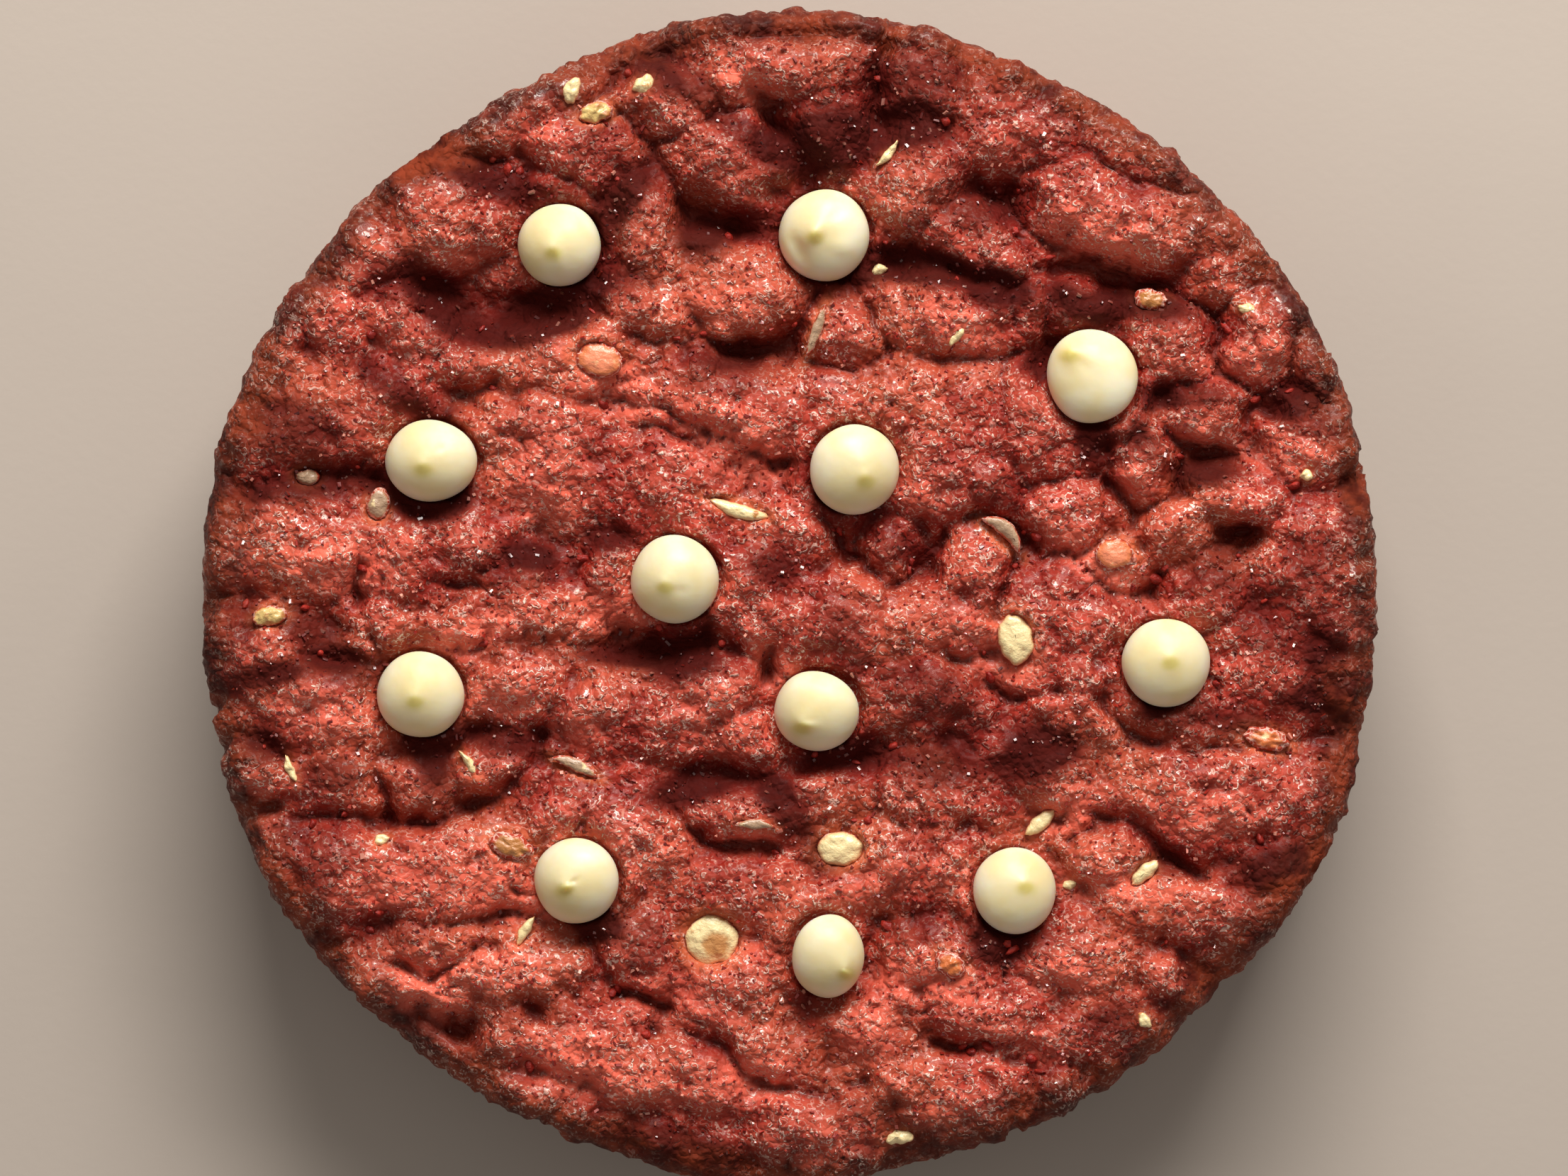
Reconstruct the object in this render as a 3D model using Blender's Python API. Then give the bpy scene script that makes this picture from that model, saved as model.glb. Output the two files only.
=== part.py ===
"""A thick round cookie pie with white chocolate chips, modelled at its real size.

The pie stands on its flat base with the middle of the base at the origin and
+Z up. Lengths in the tables below are millimetres and angles are degrees; MM
turns them into Blender's metres. X and Y are measured from the middle of the
pie, seen from above.
"""

import bmesh
import bpy
import numpy
from math import atan2, cos, degrees, hypot, pi, radians, sin, tan
from mathutils import Matrix, Vector, noise

MM = 0.001

# Driving sizes of the body
PIE_DIAMETER = 150.0
FOOT_DIAMETER = 147.0
BODY_HEIGHT = 24.6      # from the base to the level that the crags stand on
EDGE_ROLL = 3.4         # radius of the rolled upper edge
FOOT_ROUND = 1.6
TOP_RINGS = 32          # rings of triangles from the middle to the edge
SIDES_OF_FAN = 6
GAP = 0.3               # air under a chip and round a baked-in piece
SOCKET_GAP = 0.36       # air round a chip, whose sides are flats

# How one lump of dough runs into the next
LUMP_GROWTH = 1.08
LUMP_CURVE = 2.1
LUMP_REACH = 2.5        # in half widths, past which a lump no longer counts
MEDIUM_LUMP = 5.0       # half width of a lump whose sides fall by its region's depth
SHARPEST_BLEND = 0.25
SOFTEST_BLEND = 0.9
BLEND_PATCH = 14.0      # size of the patches where creases are sharp or soft
BLEND_SEED = 23.0
CRAG_FLOOR = 0.4
CREASE_FLARE = 1.7      # a crease's mouth, in half widths
CREASE_CURVE = 1.5
HOLLOW_FLARE = 1.25
HOLLOW_CURVE = 1.3

# Unevenness of the dough: size of its features, height and seed
BENDS = ((8.0, 1.2, 1.7, 11.3), (3.0, 0.7, 5.1, 17.9))
SWELL = (13.0, 0.9, 31.0)
FOLDS = ((7.5, 1.5, 41.0), (3.6, 0.6, 47.0))
FOLD_MEAN = 0.2

# How far the outline stands out from a true circle: angle and rise
OUTLINE_BUMPS = (
    (-24, 0.9), (-48, -0.6), (-78, -1.0), (-94, 0.75), (-110, -0.9), (-150, 0.8), (138, -0.7),
    (120, -0.7), (114, -0.8), (84, 0.2), (66, -0.6), (24, 0.9),
)
BUMP_SPREAD = 18.0      # degrees to either side
RIM_WAVE = 0.5
RIM_WAVE_TURNS = 6.0
RIM_WAVE_SEED = 3.0

# The raised lip of crust round the far edge: angle, spread to either side, rise
CRUST_LIPS = ((86, 22, 1.5), (52, 14, 0.7), (20, 12, 0.6))
LIP_WAVE = 0.5
LIP_LEAST = 0.8
LIP_WAVE_TURNS = 14.0
LIP_WAVE_SEED = 7.0

# Regions of lumps: how deep the dough falls away between them, then each lump's
# place, half length, half width, turn and height over the crag floor
LUMP_REGIONS = (
    (3.1, (
        (-44, 48.5, 9, 6, 22, 5.4), (-53.5, 43, 5, 4.5, 40, 4.8), (-48.5, 36, 7, 4, -40, 4.9),
        (-57.5, 35, 5, 5, 0, 4.6), (-64.5, 31, 5, 9, -25, 3.8), (-52, 52.5, 9, 2.6, 45, 3.3),
        (-35, 62, 11, 4.5, 28, 4.0), (-26, 57.5, 8, 6, -10, 4.4), (-15, 63, 7, 4.5, 10, 4.3),
        (-30, 51, 5, 4, 0, 3.2), (-18, 47, 3.8, 7, 12, 4.8), (-7.5, 56, 9, 6.5, -15, 4.6),
        (-7, 39.5, 8.5, 6, -15, 5.0), (-18.5, 37.5, 6.5, 4.5, -20, 4.5), (-41, 30, 7, 3, 0, 3.4),
        (-1, 67.5, 12, 5, 2, 4.8), (5, 60, 6.5, 6.5, 0, 4.6), (17.5, 65, 5.5, 7, 0, 4.2),
        (16, 53.5, 7, 6.5, -15, 5.6), (26.5, 61, 6.5, 9, 0, 4.6), (24, 46, 8, 4, -25, 4.8),
        (7.5, 33.5, 5.5, 5, -10, 4.9), (20, 36, 9.5, 6, -10, 5.3),
        (33.5, 59.5, 6, 5, -35, 4.6), (44, 56, 10, 3.4, -35, 4.4), (43, 49, 12, 5.5, -22, 6.0),
        (57, 44.5, 6.5, 8, -40, 4.8), (30.5, 37.5, 3.4, 3.2, -40, 4.0), (37, 37, 4.5, 4, 0, 3.8),
        (48.5, 33, 6, 5, -30, 5.0), (60, 34, 5, 6, 0, 4.8), (68, 29, 3.6, 5, 20, 3.6),
        (44.5, 19, 4, 6.5, 15, 4.4), (53, 24, 5, 4, 0, 4.4), (58, 13, 7, 4, -10, 4.6),
        (66, 20, 5.5, 6.5, 10, 4.6), (35.5, 11, 5.6, 4.6, -15, 5.0), (50, 8.5, 5.5, 4.2, 10, 4.7),
        (42, 4.5, 4, 3.8, -30, 4.2), (24, 4, 5.6, 5.6, 0, 5.0), (13, 6.5, 3.6, 4.2, 0, 3.8),
    )),
    (2.3, (
        (-28, 31, 8, 5.5, 20, 5.0), (-56, 25, 12, 8, 10, 4.0), (-63, 20, 7, 5, 0, 3.8),
        (33, 23, 7, 8, 0, 4.6), (67, 3, 8, 10, 0, 5.0), (54, 0.5, 5.5, 4.2, 0, 4.0),
        (36.5, -3, 10, 6, -15, 4.8), (62, -9, 9, 9, 0, 4.3), (37, -13, 8.5, 6.5, -20, 4.5),
        (51.5, -15, 9, 4, -10, 4.0), (54, -24.5, 15, 7.5, 0, 5.0), (33, -21, 8, 5, -15, 3.8),
        (-31, 20, 9, 8, 20, 4.8), (-9, 25, 11, 5.5, -12, 4.9), (-17, 14, 14, 7, -18, 4.4),
        (2, 10, 7, 6, 0, 4.2), (16, 24, 14, 7.5, 0, 4.9), (20, 15, 9, 6, -10, 4.4),
        (9, -2, 17, 5.5, 2, 4.8), (-20, 3, 8, 5, 0, 4.2), (-5, 2, 7, 6, 0, 4.4),
        (-33, 0, 7.5, 6, 0, 4.4), (17, -12, 8.5, 6, -15, 4.2), (-9, -11.5, 5, 3.4, -15, 4.6),
        (-16, -15, 6, 6, 0, 4.5), (-24, -14, 5, 5.5, 0, 4.6), (-4, -17.5, 6, 4, -10, 4.2),
        (18, -25, 8.5, 5.5, 0, 4.4), (4, -25, 6, 5, 0, 3.4), (-62, 7.5, 10.5, 6.5, 5, 5.2),
        (-49.5, 4.5, 5, 5.5, -30, 4.6), (-41, 7.5, 5.5, 5, 0, 4.5), (-41, -3, 6, 4, 5, 4.8),
        (-52, -3.5, 4.5, 5, 0, 4.3), (-67, -6, 6, 4.5, 0, 4.6), (-60, -13.5, 9.5, 6, -15, 5.0),
        (-34.5, -10.5, 7, 5.5, -10, 4.6), (-67, -22, 6, 2.8, -20, 4.4),
    )),
    (2.5, (
        (-57, -23, 7, 5.5, 0, 4.3), (-47.5, -24, 4.5, 4.5, 0, 4.0), (-37, -21.5, 6, 3.4, 15, 4.0),
        (-57, -34.5, 12, 6.5, -8, 4.9), (-42, -35, 12, 6.5, 10, 4.9), (-23, -29, 11, 7.5, -20, 4.9),
        (-47, -44.5, 7.5, 2.8, 5, 4.2), (-49, -49.5, 7, 3.6, -25, 4.3), (-35, -47.5, 9.5, 4.4, 0, 4.7),
        (-35, -56, 5, 3.8, 0, 4.2), (-25, -56.5, 8.5, 6, -10, 5.0), (-44, -58.5, 7, 3, -35, 3.2),
        (-31, -64, 9, 3.2, -22, 3.6), (-4.5, -28, 7, 3.4, -8, 4.4), (-1, -37.5, 13, 5.5, 0, 4.5),
        (17, -34.5, 9, 5.5, -5, 4.8), (-19, -45, 6.5, 5, -25, 4.2), (-7, -50, 9, 6.5, 0, 4.4),
        (-14.5, -60.5, 8.5, 5, -12, 4.8), (-2, -57.5, 6, 4.5, -20, 4.2), (10.5, -54, 7, 5.5, -20, 4.6),
        (20, -46.5, 7.5, 5, -15, 5.0), (25, -52.5, 9, 5, -15, 5.0), (20, -63, 12, 5, 0, 4.7),
        (3, -67, 9, 4.5, 0, 4.6), (-14, -68.5, 9, 3.4, -10, 3.4), (7.5, -72, 5, 2.6, 0, 3.8),
        (41.5, -32.5, 5.6, 4.6, -20, 4.9), (50, -39.5, 11, 5.2, 0, 4.9), (38, -45.5, 9, 4.6, 0, 4.8),
        (47.5, -48, 3, 2.8, 0, 4.6), (40, -54, 8.5, 4, 25, 4.2), (35, -63, 3.2, 2.6, 0, 4.2),
        (61, -36, 6, 4.5, 55, 4.0),
    )),
)

# Creases between lumps: the line that one follows, its half width and its depth
CREASES = (
    (((-4, 63), (0, 58.5), (4, 53)), 2.2, 2.4),
    (((12.5, 70), (11.3, 63), (12, 58)), 1.4, 2.2),
    (((29.5, 47), (31.5, 42)), 1.0, 1.6),
    (((-61, 16), (-54, 16.5), (-49, 14)), 1.8, 1.4),
    (((-55, 5), (-55, -2), (-52, -8)), 0.9, 1.2),
    (((-46, 3), (-40, 0.8), (-45, -1.5)), 0.9, 1.0),
    (((-20, 25.5), (-10, 20.7), (0, 17.5)), 1.1, 1.5),
    (((4, 9.5), (10, 4), (13, 2), (18, 4)), 1.4, 2.0),
    (((18.5, 5), (20, 9.5), (25, 10.8), (30, 7), (27, -2.5)), 0.9, 1.5),
    (((-2, -7), (-3, -11), (-5, -14)), 1.1, 1.2),
    (((40, -12), (43, -17.5), (50, -19), (58, -19)), 1.1, 1.5),
    (((24.5, -10), (29, -13), (34, -11.5)), 1.2, 1.5),
    (((-62, -28), (-50, -28.7), (-45, -29.4), (-40, -27), (-32, -21)), 1.2, 1.9),
    (((-52, -23), (-50.5, -28.5)), 0.9, 1.2),
    (((-50, -46.6), (-46, -48.8), (-41, -44.8), (-37, -45)), 0.9, 1.4),
    (((-16, -26), (-11, -31), (-3, -32.2), (3, -34)), 1.2, 2.0),
    (((11, -20), (11.5, -28)), 0.9, 1.3),
    (((-26, -44), (-21, -50), (-15, -52.5)), 1.1, 1.5),
    (((-17, -55.5), (-8, -57.3), (-4, -62), (5, -63.3), (9, -62)), 1.2, 1.9),
    (((9, -46), (13, -52), (20, -58), (28, -56.5)), 1.1, 1.8),
    (((36, -31.5), (39, -28), (45, -30), (53, -35)), 1.1, 1.7),
    (((-31, -14), (-32, -19)), 0.9, 1.2),
)

# Hollows and pits: place, half length, half width, turn and depth
HOLLOWS = (
    (-41, 38.5, 8, 5, 15, 3.2), (-30, 36.5, 7, 3, -10, 3.0), (-49, 56.5, 10, 1.8, 42, 2.0),
    (-9, 48, 5.5, 3, -10, 2.6), (0, 51, 5, 3, 0, 2.0), (17, 42, 8, 2, -12, 2.6),
    (-5, 31.8, 6.5, 2, 0, 2.6), (27, 52.5, 4.5, 4, 0, 1.8), (41, 41, 8, 2.2, -8, 2.4),
    (33.5, 30, 3.0, 3.4, 0, 3.0), (41, 13.5, 2.2, 2, 0, 1.6), (54.5, 17.5, 3.4, 2.2, -20, 2.8),
    (58, 8, 3, 1.6, 0, 1.8), (62, 24.5, 1.8, 1.8, 0, 2.0), (-17, 69.8, 5.5, 2.2, -14, 2.4),
    (-1, 72.2, 6.5, 1.6, 2, 2.0), (29, 67.3, 6, 1.2, -27, 1.8), (-66, -26, 2.2, 1.5, 0, 1.6),
    (29, -59, 1.9, 1.3, 0, 1.4), (25.5, -62, 1.5, 1.2, 0, 1.2), (-44.5, -54, 6.5, 2.6, -10, 2.6),
    (-16.5, -6.5, 9, 2.6, 0, 2.4), (5, -20.5, 7.5, 2.2, 0, 1.8), (-32, -53, 2.2, 1.2, -30, 1.4),
    (-28, 4.5, 2.4, 4, -20, 1.8), (-57.5, -8, 4, 1.3, 0, 1.2), (-37.5, -8, 1.4, 1.2, 0, 1.2),
    (-8, -23, 7, 2.5, 10, 1.8), (66, -3, 1.0, 3.2, 20, 0.9), (22, 70, 5, 1.2, -20, 1.2),
)

# The whole chips on top: place, size across X and Y, and the tip's place
CHIPS = {
    "chip_north_west": ((-28.9, 45.1), (10.8, 10.6), (-30.0, 44.5)),
    "chip_north": ((5.0, 46.2), (11.9, 11.9), (3.2, 46.5)),
    "chip_north_east": ((39.5, 27.5), (11.7, 12.1), (35.5, 31.5)),
    "chip_west_upper": ((-45.2, 17.6), (12.0, 10.6), (-46.5, 17.0)),
    "chip_middle_upper": ((8.1, 16.6), (11.6, 11.7), (9.7, 15.5)),
    "chip_middle": ((-14.0, 2.5), (11.5, 11.4), (-15.8, 2.0)),
    "chip_west_lower": ((-46.6, -12.2), (11.4, 11.1), (-47.5, -12.5)),
    "chip_middle_lower": ((4.3, -14.0), (11.2, 10.4), (1.5, -15.8)),
    "chip_east": ((48.0, -8.5), (11.4, 11.4), (48.3, -7.5)),
    "chip_south_west": ((-26.4, -35.9), (11.1, 11.0), (-28.6, -36.3)),
    "chip_south_east": ((28.5, -37.7), (10.8, 11.3), (30.0, -36.0)),
    "chip_south": ((4.4, -45.2), (9.4, 10.9), (7.3, -47.0)),
}
CHIP_HEIGHT = 6.8
CHIP_SINK = 1.2
CHIP_SIDES = 12
CHIP_PROFILE = ((0.84, 0.0), (1.0, 0.25), (0.86, 0.62), (0.34, 0.88))
CHIP_TILT_PER_MM = 7.0
CHIP_TILT_MOST = 24.0
SEAT_FLAT = 5.6         # the dough is pressed flat this far out from a chip's middle
SEAT_END = 8.6
SEAT_RING = 6.8         # the seat lies at the mean height of a ring of this radius
SEAT_SAMPLES = 16
SEAT_TILT = 0.8         # share of the chip's tilt that the dough under it takes

# Baked-in pieces of chip: place, length, width, turn, bow and colour
BAKED_PIECES = {
    "baked_chip_large": ((-9.7, -43.6), 6.8, 6.4, 0, 0, "cream"),
    "baked_chip_cone": ((6.7, -32.0), 6.0, 4.4, 0, 0, "cream"),
    "baked_chip_amber": ((20.6, -46.6), 4.4, 3.2, -35, 0, "caramel"),
    "baked_chip_oval": ((29.0, -5.3), 6.5, 4.6, 100, 0, "cream"),
    "baked_chip_crescent": ((27.0, 7.9), 6.7, 2.0, -42, 1.2, "cream"),
    "baked_chip_blush": ((41.5, 5.6), 5.0, 4.0, 0, 0, "caramel"),
    "baked_chip_blade": ((-6.2, 11.5), 8.1, 1.9, -17, -0.5, "cream"),
    "baked_chip_dome": ((-24.0, 30.3), 6.0, 4.4, -15, 0, "caramel"),
    "baked_chip_pale_oval": ((-52.2, 12.0), 4.2, 3.0, 80, 0, "cream"),
    "baked_chip_pale_dot": ((-61.3, 15.4), 3.2, 2.2, 0, 0, "cream"),
    "baked_chip_yellow": ((-66.0, -2.3), 4.5, 2.6, 10, 0, "caramel"),
    "baked_chip_grey_sliver": ((-27.2, -21.6), 6.3, 1.7, -24, 0.4, "cream"),
    "baked_chip_south_sliver": ((-4.2, -29.0), 5.2, 1.5, -3, 0.2, "cream"),
    "baked_chip_wedge": ((32.2, -28.7), 4.9, 2.0, 41, 0, "cream"),
    "baked_chip_tan": ((-35.2, -31.6), 6.0, 3.4, -20, 0, "caramel"),
    "baked_chip_west_sliver": ((-33.4, -42.5), 4.4, 1.4, 60, 0.2, "cream"),
    "baked_chip_edge": ((3.6, 34.0), 7.0, 1.5, 70, 0, "cream"),
    "baked_chip_cavity": ((46.2, 38.0), 4.2, 2.8, -10, 0, "cream"),
    "baked_chip_east": ((61.0, -18.0), 6.0, 3.0, -15, 0, "caramel"),
    "baked_chip_pair": ((45.4, -35.0), 4.6, 2.0, 42, 0, "cream"),
    "baked_chip_crumbly": ((-24.5, 61.8), 4.6, 2.8, 15, 0, "caramel"),
}
PIECE_THICKNESS = 2.6
THICKEST_SHARE = 1.2    # of its width, so that a sliver is thin
PIECE_SIDES = 8
PIECE_RINGS = 4
PIECE_PROUD = 0.3       # share of the half thickness that stands over the dough

# Slivers and crumbs too small for a node of their own, fused to the dough
FUSED_SLIVERS = (
    (-40.6, -21.4, 4.7, 1.2, -54), (-63.2, -21.7, 3.8, 1.2, -67), (-51.7, -31.0, 2.2, 1.6, 30),
    (45.5, -53.7, 2.4, 1.6, -50), (14.2, -69.0, 3.8, 2.0, 8), (-18.5, 65.5, 3.0, 2.4, 40),
    (-27.4, 64.6, 3.6, 2.2, 70), (12.6, 56.6, 4.3, 1.2, 50), (21.6, 33.4, 3.4, 1.6, 50),
    (58.4, 37.0, 2.4, 1.6, 0), (66.0, 15.4, 1.8, 1.6, 0), (35.9, -36.4, 2.0, 1.4, 20),
    (11.6, 41.6, 2.4, 1.6, 30),
)
SLIVER_THICKNESS = 1.8

CRUMB_RED = (0.235, 0.047, 0.03, 1.0)
WHITE_CHOCOLATE = (0.80, 0.71, 0.47, 1.0)
CHIP_COLOURS = {"cream": (0.79, 0.66, 0.42, 1.0), "caramel": (0.67, 0.36, 0.13, 1.0)}


def clear_scene():
    """Remove what the file opened with."""
    for existing in list(bpy.data.objects):
        bpy.data.objects.remove(existing, do_unlink=True)


def make_material(name, colour, roughness):
    material = bpy.data.materials.new(name)
    material.use_nodes = True
    shader = material.node_tree.nodes["Principled BSDF"]
    shader.inputs["Base Color"].default_value = colour
    shader.inputs["Roughness"].default_value = roughness
    shader.inputs["Metallic"].default_value = 0.0
    return material


def noise_at(x, y, size, seed):
    """Smooth noise between about -1 and 1 whose features are size across."""
    values = [noise.noise(Vector((a / size, b / size, seed))) for a, b in zip(x, y)]
    return numpy.array(values)


def smooth_step(low, high, value):
    share = numpy.clip((value - low) / (high - low), 0.0, 1.0)
    return share * share * (3.0 - 2.0 * share)


def oval_distance(x, y, oval):
    """Distance from an oval's middle, 1 at its outline."""
    middle_x, middle_y, half_length, half_width, turn = oval
    along = (x - middle_x) * cos(radians(turn)) + (y - middle_y) * sin(radians(turn))
    across = (y - middle_y) * cos(radians(turn)) - (x - middle_x) * sin(radians(turn))
    return numpy.hypot(along / half_length, across / half_width)


def line_distance(x, y, line):
    """Distance from a line of straight runs."""
    nearest = numpy.full_like(x, PIE_DIAMETER)
    for (start_x, start_y), (end_x, end_y) in zip(line, line[1:]):
        run_x = end_x - start_x
        run_y = end_y - start_y
        share = ((x - start_x) * run_x + (y - start_y) * run_y) / (run_x ** 2 + run_y ** 2)
        share = numpy.clip(share, 0.0, 1.0)
        away = numpy.hypot(x - start_x - share * run_x, y - start_y - share * run_y)
        nearest = numpy.minimum(nearest, away)
    return nearest


def lump_relief(x, y):
    """Height of the lumps alone, each running softly or sharply into the next."""
    softness = smooth_step(-0.5, 0.5, noise_at(x, y, BLEND_PATCH, BLEND_SEED))
    blend = SHARPEST_BLEND + (SOFTEST_BLEND - SHARPEST_BLEND) * softness
    total = numpy.zeros_like(x)
    for fall, lumps in LUMP_REGIONS:
        for middle_x, middle_y, half_length, half_width, turn, height in lumps:
            oval = (middle_x, middle_y, half_length * LUMP_GROWTH, half_width * LUMP_GROWTH, turn)
            away = numpy.minimum(oval_distance(x, y, oval), LUMP_REACH)
            slope = fall * (min(half_length, half_width) / MEDIUM_LUMP) ** 0.5
            total += numpy.exp((height - slope * away ** LUMP_CURVE) / blend)
    return numpy.maximum(blend * numpy.log(total), CRAG_FLOOR)


def crag_relief(x, y):
    """Height of the open dough over the crag floor, before the chips press it."""
    bent_x = x + sum(rise * noise_at(x, y, size, seed) for size, rise, seed, _ in BENDS)
    bent_y = y + sum(rise * noise_at(x, y, size, seed) for size, rise, _, seed in BENDS)
    height = lump_relief(bent_x, bent_y)
    for line, half_width, depth in CREASES:
        away = line_distance(bent_x, bent_y, line) / (half_width * CREASE_FLARE)
        height -= depth * numpy.clip(1.0 - away, 0.0, 1.0) ** CREASE_CURVE
    for *oval, depth in HOLLOWS:
        away = oval_distance(bent_x, bent_y, oval) / HOLLOW_FLARE
        height -= depth * numpy.clip(1.0 - away ** 2, 0.0, 1.0) ** HOLLOW_CURVE
    swell_size, swell_rise, swell_seed = SWELL
    height += swell_rise * noise_at(x, y, swell_size, swell_seed)
    for size, rise, seed in FOLDS:
        height += rise * (numpy.abs(noise_at(bent_x, bent_y, size, seed)) - FOLD_MEAN)
    return height


def seat_of(place, tip):
    """A chip's seat: level under it, tilt in degrees and the way that it tilts."""
    ring = [2.0 * pi * step / SEAT_SAMPLES for step in range(SEAT_SAMPLES)]
    x = numpy.array([place[0] + SEAT_RING * cos(angle) for angle in ring])
    y = numpy.array([place[1] + SEAT_RING * sin(angle) for angle in ring])
    level = float(crag_relief(x, y).mean())
    reach = hypot(tip[0] - place[0], tip[1] - place[1])
    tilt = min(CHIP_TILT_MOST, CHIP_TILT_PER_MM * reach)
    return level, tilt, atan2(tip[1] - place[1], tip[0] - place[0])


CHIP_SEATS = {name: seat_of(place, tip) for name, (place, size, tip) in CHIPS.items()}


def dough_height(x, y):
    """Height of the finished top over the crag floor, pressed flat under each chip."""
    height = crag_relief(x, y)
    for name, (place, size, tip) in CHIPS.items():
        level, tilt, toward = CHIP_SEATS[name]
        along = (x - place[0]) * cos(toward) + (y - place[1]) * sin(toward)
        plane = level - along * tan(radians(tilt)) * SEAT_TILT
        away = numpy.hypot(x - place[0], y - place[1])
        height += (plane - height) * (1.0 - smooth_step(SEAT_FLAT, SEAT_END, away))
    return height


def level_at(x, y):
    """Height of the top over the base at one place."""
    return BODY_HEIGHT + float(dough_height(numpy.array([x]), numpy.array([y]))[0])


def turn_between(angle, middle):
    """Degrees from a named angle round to an angle in radians, the short way."""
    return abs((degrees(angle) - middle + 180.0) % 360.0 - 180.0)


def rim_noise(angle, turns, seed):
    return noise.noise(Vector((cos(angle) * turns, sin(angle) * turns, seed)))


def outline_radius(angle):
    """Radius of the pie's uneven outline at an angle in radians."""
    radius = PIE_DIAMETER / 2.0
    for middle, rise in OUTLINE_BUMPS:
        share = min(1.0, turn_between(angle, middle) / BUMP_SPREAD)
        radius += rise * cos(pi / 2.0 * share)
    return radius + RIM_WAVE * rim_noise(angle, RIM_WAVE_TURNS, RIM_WAVE_SEED)


def lip_height(angle):
    """Rise of the crust's lip at an angle in radians."""
    rise = 0.0
    for middle, spread, height in CRUST_LIPS:
        rise += height * max(0.0, 1.0 - (turn_between(angle, middle) / spread) ** 2)
    return rise * (LIP_LEAST + LIP_WAVE * rim_noise(angle, LIP_WAVE_TURNS, LIP_WAVE_SEED))


def hexagon_reach(angle):
    """Distance from the middle of a hexagon of radius 1 to its side at an angle."""
    wedge = 2.0 * pi / SIDES_OF_FAN
    return cos(wedge / 2.0) / cos(angle % wedge - wedge / 2.0)


def add_top(mesh):
    """A disc of even triangles, raised to the craggy top of the pie."""
    bmesh.ops.create_circle(mesh, cap_ends=True, cap_tris=True, segments=SIDES_OF_FAN, radius=1.0)
    bmesh.ops.subdivide_edges(mesh, edges=mesh.edges[:], cuts=TOP_RINGS - 1, use_grid_fill=True)
    # the circle starts at +Y, so the fan's corners are turned to start at +X
    bmesh.ops.rotate(mesh, verts=mesh.verts[:], matrix=Matrix.Rotation(-pi / 2.0, 3, "Z"))
    for vertex in mesh.verts:
        angle = atan2(vertex.co.y, vertex.co.x)
        share = hypot(vertex.co.x, vertex.co.y) / hexagon_reach(angle)
        radius = share * (outline_radius(angle) - EDGE_ROLL)
        vertex.co = (radius * cos(angle), radius * sin(angle), 0.0)
    x = numpy.array([vertex.co.x for vertex in mesh.verts])
    y = numpy.array([vertex.co.y for vertex in mesh.verts])
    for vertex, height in zip(mesh.verts, BODY_HEIGHT + dough_height(x, y)):
        vertex.co.z = height


def extrude_rim(mesh, rim):
    """Extrude a loop of edges and return the new loop's edges and vertices."""
    made = bmesh.ops.extrude_edge_only(mesh, edges=rim)["geom"]
    vertices = [item for item in made if isinstance(item, bmesh.types.BMVert)]
    edges = [item for item in made if isinstance(item, bmesh.types.BMEdge)]
    return [edge for edge in edges if len(edge.link_faces) == 1], vertices


def add_side_and_base(mesh):
    """Roll the edge over, run the side down to the foot and close the base."""
    rim = [edge for edge in mesh.edges if edge.is_boundary]
    tops = {}
    for edge in rim:
        for vertex in edge.verts:
            tops[round(atan2(vertex.co.y, vertex.co.x), 5)] = vertex.co.z
    foot_inset = (PIE_DIAMETER - FOOT_DIAMETER) / 2.0
    roll_share = 1.0 - sin(pi / 4.0)
    # inset from the outline, share of the edge's height, drop below it, share of the lip
    rows = (
        (EDGE_ROLL * roll_share, 1.0, EDGE_ROLL * roll_share, 1.0),
        (0.0, 1.0, EDGE_ROLL, 0.0),
        (foot_inset / 2.0, 0.5, 0.0, 0.0),
        (foot_inset, 0.0, -FOOT_ROUND, 0.0),
        (foot_inset + FOOT_ROUND, 0.0, 0.0, 0.0),
    )
    for inset, share, drop, lip in rows:
        rim, vertices = extrude_rim(mesh, rim)
        for vertex in vertices:
            angle = atan2(vertex.co.y, vertex.co.x)
            edge_height = tops[round(angle, 5)]
            radius = outline_radius(angle) - inset
            height = edge_height * share - drop + lip * lip_height(angle)
            vertex.co = (radius * cos(angle), radius * sin(angle), height)
    rim, vertices = extrude_rim(mesh, rim)
    bmesh.ops.pointmerge(mesh, verts=vertices, merge_co=(0.0, 0.0, 0.0))


def add_oval(mesh, length, width, thickness, bow, grow):
    """A flattened ball along X, bent sideways by bow, grown outward by grow."""
    bmesh.ops.create_uvsphere(mesh, u_segments=PIECE_SIDES, v_segments=PIECE_RINGS, radius=1.0)
    half = Vector((length / 2.0 + grow, width / 2.0 + grow, thickness / 2.0 + grow))
    for vertex in mesh.verts:
        bend = bow * (1.0 - vertex.co.x ** 2)
        vertex.co = (vertex.co.x * half.x, vertex.co.y * half.y + bend, vertex.co.z * half.z)


def add_turned(mesh, rings, top=None):
    """A turned solid from rings of (radius, height), closed flat or to a point."""
    vertices = bmesh.ops.create_circle(mesh, cap_ends=True, segments=CHIP_SIDES, radius=1.0)["verts"]
    loop = mesh.edges[:]
    for step, (radius, height) in enumerate(rings):
        if step:
            loop, vertices = extrude_rim(mesh, loop)
        for vertex in vertices:
            around = atan2(vertex.co.y, vertex.co.x)
            vertex.co = (radius * cos(around), radius * sin(around), height)
    if top is None:
        bmesh.ops.contextual_create(mesh, geom=loop)
    else:
        loop, vertices = extrude_rim(mesh, loop)
        bmesh.ops.pointmerge(mesh, verts=vertices, merge_co=(0.0, 0.0, top))


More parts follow.
